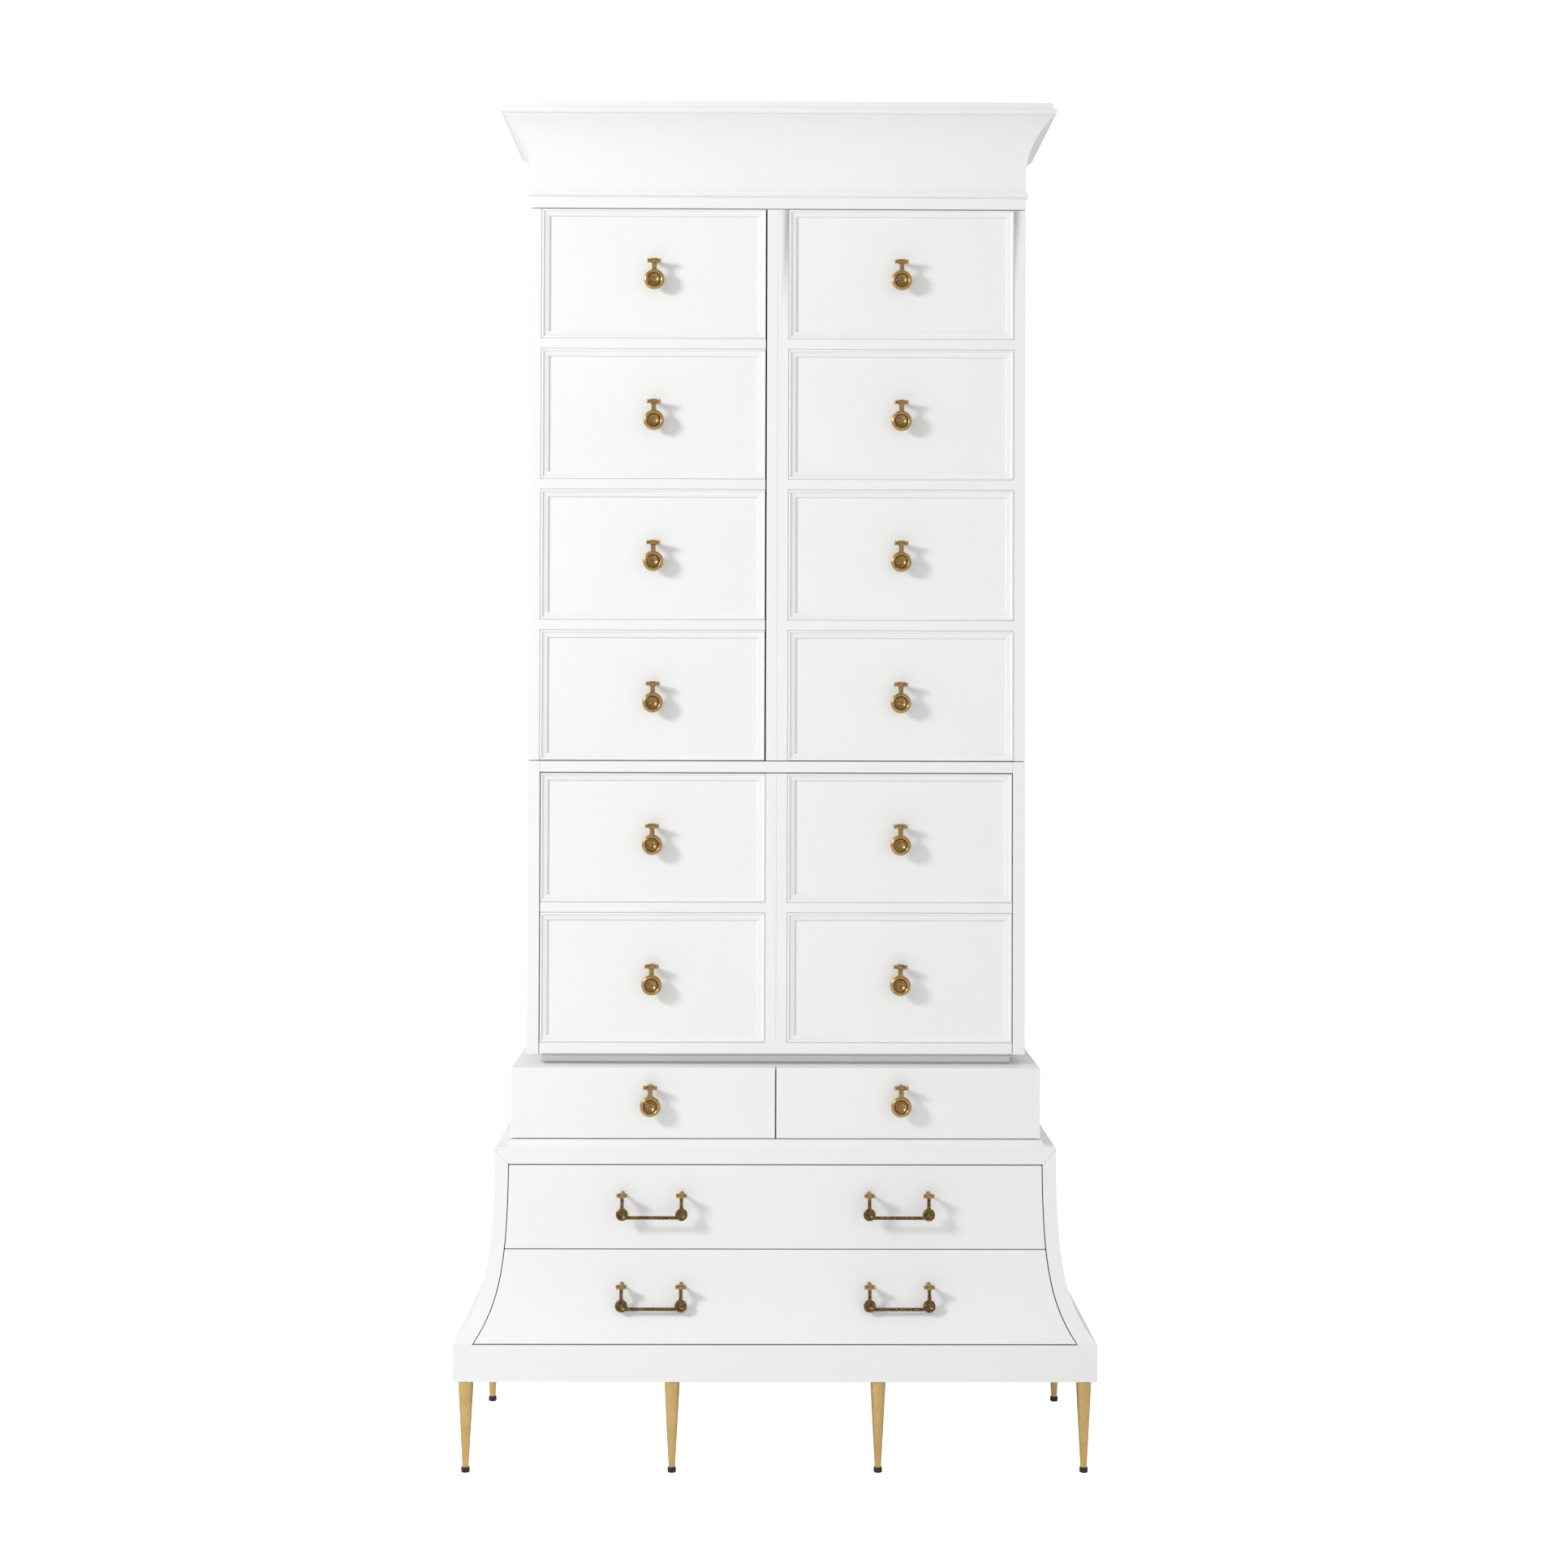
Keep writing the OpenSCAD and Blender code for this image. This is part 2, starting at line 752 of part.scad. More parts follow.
// A dished disc that faces the front
module dished_disc(d, t) {
    r = d / 2;
    rotate([90, 0, 0])
        rotate_extrude()
            polygon([[0, -t / 2], [r - 1.5, -t / 2], [r, -t / 4], [r, 0], [r - 1.5, t * 0.3],
                     [r * 0.64, t * 0.12], [r * 0.6, t * 0.12], [r * 0.55, t / 2],
                     [r * 0.45, t / 2], [r * 0.25, t * 0.1], [0, 0]]);
}

module drop_pull() {
    color(BRASS)
        difference() {
            union() {
                eye_solid(neck_w);
                board(-neck_w / 2 + 0.8, neck_w / 2 - 0.8, -neck_t / 2, neck_t / 2,
                      -pull_drop + disc_d / 2 - 3, -eye_r / 2);
                translate([0, 0, -pull_drop])
                    dished_disc(disc_d, disc_t);
            }
            eye_bore(neck_w);
        }
}

// A bail's boss: thick ring with a small dish in its front
module bail_boss() {
    r = boss_d / 2;
    rotate([90, 0, 0])
        rotate_extrude()
            polygon([[0, -boss_t / 2], [r - 0.8, -boss_t / 2], [r, 0.8 - boss_t / 2],
                     [r, boss_t / 2 - 0.8], [r - 0.8, boss_t / 2], [r / 2, boss_t / 2],
                     [r * 0.4, boss_t * 0.2], [0, boss_t * 0.15]]);
}

module bail_pull() {
    grip_end = bail_w / 2 - sqrt(pow(boss_d / 2 - 0.1, 2) - pow(grip_sink + grip_d / 2, 2));
    color(BRASS) {
        both_sides()
            translate([bail_w / 2, 0, 0])
                difference() {
                    union() {
                        eye_solid(arm_w);
                        board(-arm_w / 2 + 0.4, arm_w / 2 - 0.4, -neck_t / 2, neck_t / 2,
                              -bail_drop + boss_d / 2 - 2, -eye_r / 2);
                        translate([0, 0, -bail_drop])
                            bail_boss();
                    }
                    eye_bore(arm_w);
                }
        translate([0, 0, -bail_drop - grip_sink])
            rotate([0, 90, 0])
                cylinder(r = grip_d / 2, h = 2 * grip_end, center = true);
    }
}

function sign_of(side) = side == "left" ? -1 : 1;
drop_y = panel_face - pull_standoff;
function door_pull_z(row) = door_row_z(row) + door_panel_h / 2 + pull_rise;
function flap_pull_z(row) = flap_row_z(row) + flap_panel_h / 2 + pull_rise;
small_pull_z = (small_z0 + small_z1) / 2 + small_pull_rise;
bail_rise = 24;
upper_bail_z = (upper_drawer_z0 + upper_drawer_z1) / 2 + bail_rise;
lower_bail_z = (lower_drawer_z0 + lower_drawer_z1) / 2 + bail_rise - 6;
function bail_y(z) = front + flare_at(z) - bail_standoff;

module drop_head() {
    pull_head(pull_standoff, tbar_l, neck_w, 0);
}

// Pulls' heads and pivot plates of a left door, in their places
module door_fittings() {
    for (row = [1 : door_rows])
        translate([-pull_x, drop_y, door_pull_z(row)])
            drop_head();
    for (z = [door_z0, door_z1 - bush_t])
        translate([0, 0, z])
            door_plate(pivot_r + pin_fit);
}

module left_door_fittings() {
    color(BRASS)
        door_fittings();
}

module right_door_fittings() {
    color(BRASS)
        mirror([1, 0, 0])
            door_fittings();
}

module fall_front_fittings() {
    color(BRASS)
        both_sides() {
            for (row = [1 : flap_rows])
                translate([-pull_x, drop_y, flap_pull_z(row)])
                    drop_head();
            translate([-flap_x, flap_pivot_y, flap_pivot_z])
                difference() {
                    board(0, bush_t, -7, 7, -4.5, 18);
                    rotate([0, 90, 0])
                        cylinder(r = pivot_r + pin_fit, h = 4 * bush_t, center = true);
                }
        }
}

// Pins on their plates for the doors and the fall front, and the catches
module case_fittings() {
    color(BRASS)
        both_sides() {
            translate([-pivot_x, pivot_y, doors_z]) {
                board(-3, 12, -4, 4, 0, plate_t);
                cylinder(r = pivot_r, h = pivot_l);
            }
            translate([-pivot_x, pivot_y, top_z]) {
                board(-3, 12, -4, 4, -plate_t, 0);
                translate([0, 0, -pivot_l])
                    cylinder(r = pivot_r, h = pivot_l);
            }
            translate([-inner_x, flap_pivot_y, flap_pivot_z]) {
                board(0, plate_t, -5, 5, -4, 14);
                rotate([0, 90, 0])
                    cylinder(r = pivot_r, h = pivot_l);
            }
            for (z = [top_z, doors_z - board_t])
                board(-catch_x - catch_l / 2, -catch_x + catch_l / 2,
                      case_front, case_front + catch_w, z - catch_h, z);
        }
}

module small_post(side) {
    color(BRASS)
        translate([side * pull_x, tier_face - pull_standoff, small_pull_z])
            drop_head();
}

module small_left_post() { small_post(-1); }
module small_right_post() { small_post(1); }

// The four heads of a wide drawer's bails, cut to the curve of its face
module wide_posts(z) {
    color(BRASS)
        difference() {
            for (x = [-bail_x, bail_x], end = [-1, 1])
                translate([x + end * bail_w / 2, bail_y(z), z])
                    pull_head(bail_standoff, bail_tbar_l, arm_w, face_bed);
            behind_face(0, back);
        }
}

module upper_wide_posts() { wide_posts(upper_bail_z); }
module lower_wide_posts() { wide_posts(lower_bail_z); }

// ---------------------------------------------------------------- cornice
module cornice() {
    cove_lip = 1.5;
    bead_z = cornice_h - band_h - bead_r;
    cove_z = bead_z - bead_r - 2;
    rise = sqrt(pow(cove_r, 2) - pow(cove_r - cornice_out + cove_lip, 2));
    cove_foot = cove_z - rise;
    sweep = asin(rise / cove_r);
    color(WHITE)
        translate([0, 0, cornice_z])
            mitred_runs(case_x, case_face, cornice_out + bead_r, cornice_t, cornice_h)
                polygon(concat([[-cornice_t, 0], [0, 0], [0, cove_foot]],
                    arc_points(cove_r, cove_foot, cove_r, 180, 180 - sweep, 14),
                    [[cornice_out - 0.8, cove_z], [cornice_out - 0.8, bead_z - bead_r]],
                    arc_points(cornice_out, bead_z, bead_r, -90, 90, 8),
                    [[cornice_out, cornice_h], [-cornice_t, cornice_h]]));
}

// Half-round strip at the foot of the cornice, planted on its face
module astragal() {
    r = 5;
    color(WHITE)
        translate([0, 0, cornice_z])
            mitred_runs(case_x + joint_gap, case_face - joint_gap, r, 0.01, astragal_h)
                polygon(concat([[0, astragal_h - 1], [0, 1]],
                    [for (p = arc_points(0, 0, 1, -90, 90, 8))
                        [p[0] * r, astragal_h / 2 + p[1] * (astragal_h / 2 - 1)]]));
}

glides();
legs();
plinth_rails();
plinth_deck();
chest_sides();
chest_frame();
drawer_bay_boards();
chest_bottom();
chest_back();
chest_top();
ledge_moulding();
upper_wide_front();
upper_wide_box();
upper_wide_posts();
lower_wide_front();
lower_wide_box();
lower_wide_posts();
tier_uprights();
tier_back();
tier_top();
small_left_front();
small_left_box();
small_left_post();
small_right_front();
small_right_box();
small_right_post();
recessed_plinth();
case_sides();
case_bottom();
case_middle();
case_top();
case_back();
shelves();
fall_front();
fall_front_fittings();
left_door();
left_door_fittings();
right_door();
right_door_fittings();
case_fittings();
cornice();
astragal();
for (side = ["left", "right"]) {
    for (row = [1 : door_rows])
        translate([sign_of(side) * pull_x, drop_y, door_pull_z(row)]) drop_pull();
    for (row = [1 : flap_rows])
        translate([sign_of(side) * pull_x, drop_y, flap_pull_z(row)]) drop_pull();
    translate([sign_of(side) * pull_x, tier_face - pull_standoff, small_pull_z]) drop_pull();
    translate([sign_of(side) * bail_x, bail_y(upper_bail_z), upper_bail_z]) bail_pull();
    translate([sign_of(side) * bail_x, bail_y(lower_bail_z), lower_bail_z]) bail_pull();
}
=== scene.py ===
import json
import math

import bmesh
import bpy
from mathutils import Matrix, Vector


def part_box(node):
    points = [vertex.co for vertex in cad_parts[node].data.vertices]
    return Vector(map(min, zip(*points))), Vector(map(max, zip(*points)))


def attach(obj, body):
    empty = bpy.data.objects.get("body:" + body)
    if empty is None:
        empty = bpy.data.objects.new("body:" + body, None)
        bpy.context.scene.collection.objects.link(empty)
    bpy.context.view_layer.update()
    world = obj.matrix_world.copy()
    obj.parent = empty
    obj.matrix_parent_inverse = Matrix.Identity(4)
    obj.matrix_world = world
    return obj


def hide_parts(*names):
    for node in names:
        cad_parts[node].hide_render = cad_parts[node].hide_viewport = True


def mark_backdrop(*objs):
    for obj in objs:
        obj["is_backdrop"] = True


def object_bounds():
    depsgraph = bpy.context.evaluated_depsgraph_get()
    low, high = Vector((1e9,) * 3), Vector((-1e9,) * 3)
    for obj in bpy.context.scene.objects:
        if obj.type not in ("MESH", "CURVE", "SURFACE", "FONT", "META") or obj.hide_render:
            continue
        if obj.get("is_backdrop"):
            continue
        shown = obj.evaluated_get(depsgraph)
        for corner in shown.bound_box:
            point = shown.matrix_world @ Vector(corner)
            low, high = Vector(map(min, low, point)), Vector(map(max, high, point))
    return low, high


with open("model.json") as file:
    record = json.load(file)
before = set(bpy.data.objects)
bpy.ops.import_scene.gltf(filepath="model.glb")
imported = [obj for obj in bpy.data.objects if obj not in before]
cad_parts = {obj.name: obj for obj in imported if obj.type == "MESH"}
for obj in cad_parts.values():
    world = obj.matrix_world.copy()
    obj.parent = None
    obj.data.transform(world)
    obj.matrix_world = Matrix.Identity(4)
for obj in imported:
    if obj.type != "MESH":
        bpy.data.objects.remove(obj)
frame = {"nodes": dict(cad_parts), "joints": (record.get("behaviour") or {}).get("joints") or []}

cad_low, cad_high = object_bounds()


# ---------------------------------------------------------------- camera
# Stands a little left of the middle at chest height, almost square to the front.
view_camera = bpy.data.cameras.new("view_camera")
view_camera.sensor_width = 36.0
view_camera.lens = 57.61
view_camera.shift_y = -0.0865
camera = bpy.data.objects.new("camera", view_camera)
bpy.context.scene.collection.objects.link(camera)
turn = Matrix.Rotation(math.radians(-0.507), 4, "Z")
tilt = Matrix.Rotation(math.radians(90 + 1.11), 4, "X")
roll = Matrix.Rotation(math.radians(0.172), 4, "Z")
camera.matrix_world = Matrix.Translation((-0.0272, cad_low.y - 4.3777, 1.35)) @ turn @ tilt @ roll
bpy.context.scene.camera = camera


# ---------------------------------------------------------------- studio
# Pale matt paper laid as a floor and swept up into a backdrop, a bright even room, one large soft
# lamp high on the left and a weak one on the right.
def linear(code):
    """An sRGB hex colour as linear red, green, blue and alpha."""
    parts = [int(code[i:i + 2], 16) / 255 for i in (0, 2, 4)]
    return [c / 12.92 if c <= 0.04045 else ((c + 0.055) / 1.055) ** 2.4 for c in parts] + [1.0]


def add(tree, kind, inputs=None, **settings):
    """Adds a node. Settings are its properties; inputs hold values or the sockets linked to them."""
    node = tree.nodes.new(kind)
    for key, value in settings.items():
        setattr(node, key, value)
    for key, value in (inputs or {}).items():
        if isinstance(value, bpy.types.NodeSocket):
            tree.links.new(value, node.inputs[key])
        else:
            node.inputs[key].default_value = value
    return node


def new_finish(name):
    material = bpy.data.materials.new(name)
    material.use_nodes = True
    material.node_tree.nodes.clear()
    return material, material.node_tree


# Matt paper floor: a faint cloudiness is all that shows
floor_paper, tree = new_finish("matt_paper_floor")
place = add(tree, "ShaderNodeTexCoord").outputs["Object"]
cloud = add(tree, "ShaderNodeTexNoise", {"Vector": place, "Scale": 1.5, "Detail": 2.0}).outputs["Fac"]
paper = add(tree, "ShaderNodeMix", {"Factor": cloud, "A": linear("F6F6F5"), "B": linear("FBFBFA")},
            data_type="RGBA")
seen = add(tree, "ShaderNodeLightPath").outputs["Is Camera Ray"]
lift = add(tree, "ShaderNodeMath", {0: seen, 1: 0.8}, operation="MULTIPLY").outputs[0]
skin = add(tree, "ShaderNodeBsdfPrincipled",
           {"Base Color": paper.outputs[2], "Roughness": 0.9, "Emission Color": linear("FFFFFF"),
            "Emission Strength": lift})
add(tree, "ShaderNodeOutputMaterial", {"Surface": skin.outputs[0]})
bend_y, bend_r, paper_top = 3.0, 2.5, 12.0
sweep = [(-14.0, 0.0), (bend_y, 0.0)]
sweep += [(bend_y + bend_r * math.sin(math.radians(a)), bend_r * (1 - math.cos(math.radians(a))))
          for a in range(6, 91, 6)]
sweep += [(bend_y + bend_r, paper_top)]
floor_mesh = bpy.data.meshes.new("floor")
floor_mesh.from_pydata([(x, y, z) for y, z in sweep for x in (-16, 16)], [],
                       [(2 * i, 2 * i + 1, 2 * i + 3, 2 * i + 2) for i in range(len(sweep) - 1)])
floor_mesh.shade_smooth()
floor_mesh.materials.append(floor_paper)
floor = bpy.data.objects.new("floor", floor_mesh)
bpy.context.scene.collection.objects.link(floor)

room = bpy.data.worlds.new("room")
room.use_nodes = True
room.node_tree.nodes.clear()
glow = add(room.node_tree, "ShaderNodeBackground", {"Color": linear("FFFFFF"), "Strength": 0.6})
seen = add(room.node_tree, "ShaderNodeBackground", {"Color": linear("FFFFFF"), "Strength": 1.0})
path = add(room.node_tree, "ShaderNodeLightPath").outputs["Is Camera Ray"]
both = add(room.node_tree, "ShaderNodeMixShader", {0: path, 1: glow.outputs[0], 2: seen.outputs[0]})
add(room.node_tree, "ShaderNodeOutputWorld", {"Surface": both.outputs[0]})
bpy.context.scene.world = room


def lamp(name, place, aim, width, power, warmth):
    data = bpy.data.lights.new(name, "AREA")
    data.shape = "DISK"
    data.size = width
    data.energy = power
    data.color = linear(warmth)[:3]
    light = bpy.data.objects.new(name, data)
    bpy.context.scene.collection.objects.link(light)
    light.location = place
    light.rotation_euler = (Vector(aim) - Vector(place)).to_track_quat("-Z", "Y").to_euler()
    return light


key = lamp("key", (-3.5, -2.3, 2.9), (0, -0.1, 1.3), 0.9, 112, "FFFEFB")
fill = lamp("fill", (3.6, -3.4, 2.0), (0, 0, 1.2), 2.5, 9, "FBFDFF")
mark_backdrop(floor, key, fill)
bpy.context.scene.view_settings.view_transform = "Standard"


# ---------------------------------------------------------------- painted case boards
# Sides, rails and tops of close-grained hardwood, planed flat, their edges eased with paper and
# sprayed with several coats of satin white lacquer. Fixed with glue and hidden dowels.
MM = 0.001


def sprayed_white_lacquer(name, grain):
    """Satin white lacquer. It leaves a fine orange peel, and the wood's grain shows as faint lines."""
    material, tree = new_finish(name)
    place = add(tree, "ShaderNodeTexCoord").outputs["Object"]
    peel_size = 3 * MM  # the real peel is nearer 1 mm; drawn as coarse as it needs to show
    cloud_size = 260 * MM
    line_width, line_length = 2.5 * MM, 180 * MM
    scale = [1 / line_width] * 3
    scale["XYZ".index(grain)] = 1 / line_length
    along = add(tree, "ShaderNodeMapping", {"Vector": place, "Scale": scale}).outputs[0]
    lines = add(tree, "ShaderNodeTexNoise", {"Vector": along, "Scale": 1.0, "Detail": 3.0}).outputs["Fac"]
    peel = add(tree, "ShaderNodeTexNoise",
               {"Vector": place, "Scale": 1 / peel_size, "Detail": 2.0}).outputs["Fac"]
    cloud = add(tree, "ShaderNodeTexNoise",
                {"Vector": place, "Scale": 1 / cloud_size, "Detail": 3.0}).outputs["Fac"]
    coat = add(tree, "ShaderNodeMix", {"Factor": cloud, "A": linear("F1F2F2"), "B": linear("F6F7F7")},
               data_type="RGBA").outputs[2]
    tint = add(tree, "ShaderNodeMapRange", {"Value": lines, 1: 0.35, 2: 0.75, 3: 0.0, 4: 0.07}).outputs[0]
    coat = add(tree, "ShaderNodeMix", {"Factor": tint, "A": coat, "B": linear("E7E8E8")},
               data_type="RGBA").outputs[2]
    satin = add(tree, "ShaderNodeMapRange", {"Value": cloud, 1: 0.3, 2: 0.7, 3: 0.30, 4: 0.40}).outputs[0]
    rise = add(tree, "ShaderNodeBump",
               {"Height": lines, "Strength": 0.15, "Distance": 0.06 * MM}).outputs[0]
    rise = add(tree, "ShaderNodeBump",
               {"Height": peel, "Strength": 0.3, "Distance": 0.05 * MM, "Normal": rise}).outputs[0]
    skin = add(tree, "ShaderNodeBsdfPrincipled",
               {"Base Color": coat, "Roughness": satin, "Normal": rise, "IOR": 1.5,
                "Coat Weight": 0.15, "Coat Roughness": 0.18})
    add(tree, "ShaderNodeOutputMaterial", {"Surface": skin.outputs[0]})
    return material


level_lacquer = sprayed_white_lacquer("sprayed_white_lacquer_level", "X")
upright_lacquer = sprayed_white_lacquer("sprayed_white_lacquer_upright", "Z")
side_lacquer = sprayed_white_lacquer("sprayed_white_lacquer_return", "Y")


def node_mm(*names):
    """Lowest and highest corner of CAD nodes, in mm."""
    boxes = [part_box(name) for name in names]
    low = Vector([min(b[0][i] for b in boxes) for i in range(3)]) / MM
    high = Vector([max(b[1][i] for b in boxes) for i in range(3)]) / MM
    return low, high


def skin_rings(rings, start_cap=True, end_cap=True):
    """Closes rings of points, each with the same count, into one skin; caps fill the ends."""
    count = len(rings[0])
    faces = []
    for r in range(len(rings) - 1):
        for i in range(count):
            j = (i + 1) % count
            faces.append((r * count + i, r * count + j, (r + 1) * count + j, (r + 1) * count + i))
    if start_cap:
        faces.append(tuple(reversed(range(count))))
    if end_cap:
        faces.append(tuple((len(rings) - 1) * count + i for i in range(count)))
    return [point for ring in rings for point in ring], faces


def board(low, high):
    (x0, y0, z0), (x1, y1, z1) = low, high
    return skin_rings([[(x, y0, z0), (x, y1, z0), (x, y1, z1), (x, y0, z1)] for x in (x0, x1)])


def make_piece(name, parts, finish, body, nodes=(), eased=0.0, patina=None):
    """Joins parts, given in mm, into one piece on a body. Its edges are eased by a radius in mm.
    patina gives a point's share of dark patina, from 0 to 1."""
    shape = bmesh.new()
    for points, faces in parts:
        made = [shape.verts.new(Vector(p) * MM) for p in points]
        for face in faces:
            shape.faces.new([made[i] for i in face])
        bmesh.ops.remove_doubles(shape, verts=made, dist=1e-7)
    bmesh.ops.recalc_face_normals(shape, faces=shape.faces)
    mesh = bpy.data.meshes.new(name)
    shape.to_mesh(mesh)
    shape.free()
    mesh.materials.append(finish)
    mesh.shade_smooth()
    mesh.set_sharp_from_angle(angle=math.radians(32))
    if patina:
        marks = mesh.attributes.new("patina", "FLOAT", "POINT")
        marks.data.foreach_set("value", [patina(v.co / MM) for v in mesh.vertices])
    piece = bpy.data.objects.new(name, mesh)
    bpy.context.scene.collection.objects.link(piece)
    if eased:
        bevel = piece.modifiers.new("eased_edges", "BEVEL")
        bevel.width = eased * MM
        bevel.segments = 2
        bevel.limit_method = "ANGLE"
        bevel.angle_limit = math.radians(50)
        bevel.harden_normals = True
    if body:
        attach(piece, body)
        if nodes:
            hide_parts(*nodes)
    return piece


base_low, base_high = node_mm("plinth_rails")
side_low, side_high = node_mm("case_sides")
middle_high = node_mm("case_middle")[1]
door_high = node_mm("left_door", "right_door")[1]
inner_x = middle_high.x + 0.2
front_edge = node_mm("case_top")[0].y
door_rebate = door_high.y + 1
notched = [(front_edge, side_low.z), (side_high.y, side_low.z), (side_high.y, side_high.z),
           (door_rebate, side_high.z), (door_rebate, middle_high.z), (front_edge, middle_high.z)]
sides = [skin_rings([[(sign * x, y, z) for y, z in notched] for x in (inner_x, side_high.x)])
         for sign in (-1, 1)]
make_piece("case_side_boards", sides, upright_lacquer, "cabinet", ["case_sides"], eased=0.8)
for node in ("case_bottom", "case_middle", "case_top", "chest_top", "tier_top"):
    make_piece(node + "_board", [board(*node_mm(node))], level_lacquer, "cabinet",
               [node], eased=0.8)
for node in ("shelves", "tier_uprights", "plinth_deck"):
    finish = side_lacquer if node == "tier_uprights" else level_lacquer
    frame["nodes"][node].data.materials.clear()
    frame["nodes"][node].data.materials.append(finish)


# ---------------------------------------------------------------- inside boards
# Birch boards and plywood backs inside the carcase and the drawer boxes, planed and sealed clear,
# let into grooves. They keep a light open grain with a thin satin seal.
sealed_birch, tree = new_finish("sealed_birch")
place = add(tree, "ShaderNodeTexCoord").outputs["Object"]
ring_width, ring_length = 14 * MM, 420 * MM
pore_width, pore_length = 0.9 * MM, 16 * MM
along = add(tree, "ShaderNodeMapping",
            {"Vector": place, "Scale": (1 / ring_length, 1 / ring_width, 1 / ring_width)}).outputs[0]
figure = add(tree, "ShaderNodeTexNoise",
             {"Vector": along, "Scale": 1.0, "Detail": 4.0, "Distortion": 0.6}).outputs["Fac"]
along = add(tree, "ShaderNodeMapping",
            {"Vector": place, "Scale": (1 / pore_length, 1 / pore_width, 1 / pore_width)}).outputs[0]
pores = add(tree, "ShaderNodeTexNoise", {"Vector": along, "Scale": 1.0, "Detail": 2.0}).outputs["Fac"]
tone = add(tree, "ShaderNodeMapRange", {"Value": figure, 1: 0.32, 2: 0.68}).outputs[0]
wood = add(tree, "ShaderNodeMix", {"Factor": tone, "A": linear("E0C79F"), "B": linear("C7A576")},
           data_type="RGBA").outputs[2]
depth = add(tree, "ShaderNodeMapRange", {"Value": pores, 1: 0.55, 2: 0.8, 3: 0.0, 4: 0.5}).outputs[0]
wood = add(tree, "ShaderNodeMix", {"Factor": depth, "A": wood, "B": linear("A8845A")},
           data_type="RGBA").outputs[2]
seal = add(tree, "ShaderNodeMapRange", {"Value": pores, 1: 0.3, 2: 0.7, 3: 0.42, 4: 0.56}).outputs[0]
rise = add(tree, "ShaderNodeBump", {"Height": pores, "Strength": 0.3, "Distance": 0.08 * MM}).outputs[0]
skin = add(tree, "ShaderNodeBsdfPrincipled",
           {"Base Color": wood, "Roughness": seal, "Normal": rise, "IOR": 1.5})
add(tree, "ShaderNodeOutputMaterial", {"Surface": skin.outputs[0]})
for node in ("drawer_bay_boards", "chest_bottom", "chest_back", "tier_back", "case_back",
             "upper_wide_box", "lower_wide_box", "small_left_box", "small_right_box"):
    frame["nodes"][node].data.materials.clear()
    frame["nodes"][node].data.materials.append(sealed_birch)


# ---------------------------------------------------------------- legs
# Six solid brass cones, turned and brushed along their length, each screwed up into the plinth
# through a thin plate, coloured near black as painted shade for the gap, and shod with a black moulded
# glide.
def brushed_brass(name, brush):
    """Satin brass. The brush leaves long fine scratches that stretch the reflections along them."""
    material, tree = new_finish(name)
    place = add(tree, "ShaderNodeTexCoord").outputs["Object"]
    scratch_width, scratch_length = 0.5 * MM, 22 * MM
    scale = [1 / scratch_width] * 3
    scale["XYZ".index(brush)] = 1 / scratch_length
    along = add(tree, "ShaderNodeMapping", {"Vector": place, "Scale": scale}).outputs[0]
    scratch = add(tree, "ShaderNodeTexNoise",
                  {"Vector": along, "Scale": 1.0, "Detail": 2.0}).outputs["Fac"]
    bloom = add(tree, "ShaderNodeTexNoise", {"Vector": place, "Scale": 1 / (35 * MM)}).outputs["Fac"]
    metal = add(tree, "ShaderNodeMix", {"Factor": bloom, "A": linear("E9CA90"), "B": linear("D0AD6D")},
                data_type="RGBA").outputs[2]
    tint = add(tree, "ShaderNodeMapRange", {"Value": scratch, 1: 0.4, 2: 0.7, 3: 0.0, 4: 0.45}).outputs[0]
    metal = add(tree, "ShaderNodeMix", {"Factor": tint, "A": metal, "B": linear("A3814D")},
                data_type="RGBA").outputs[2]
    satin = add(tree, "ShaderNodeMapRange",
                {"Value": scratch, 1: 0.3, 2: 0.7, 3: 0.24, 4: 0.38}).outputs[0]
    rise = add(tree, "ShaderNodeBump",
               {"Height": scratch, "Strength": 0.25, "Distance": 0.05 * MM}).outputs[0]
    skin = add(tree, "ShaderNodeBsdfPrincipled",
               {"Base Color": metal, "Metallic": 1.0, "Roughness": satin, "Normal": rise})
    add(tree, "ShaderNodeOutputMaterial", {"Surface": skin.outputs[0]})
    return material


leg_brass = brushed_brass("brushed_brass_leg", "Z")


def turned(profile, axis="Z", centre=(0, 0, 0), around=48):
    """Turns (along, radius) points about an axis through the centre."""
    k = "XYZ".index(axis)
    rings = []
    for along, radius in profile:
        ring = []
        for i in range(around):
            angle = 2 * math.pi * i / around
            point = [0, 0, 0]
            point[k] = along
            point[(k + 1) % 3] = radius * math.cos(angle)
            point[(k + 2) % 3] = radius * math.sin(angle)
            ring.append(tuple(point[n] + centre[n] for n in range(3)))
        rings.append(ring)
    return skin_rings(rings, False, False)


def rounded(profile_start, centre, radius, angle0, angle1, steps=5):
    """A profile's points with an arc added round a centre."""
    arc = [(centre[0] + radius * math.cos(math.radians(angle0 + (angle1 - angle0) * i / steps)),
            centre[1] + radius * math.sin(math.radians(angle0 + (angle1 - angle0) * i / steps)))
           for i in range(steps + 1)]
    return profile_start + arc


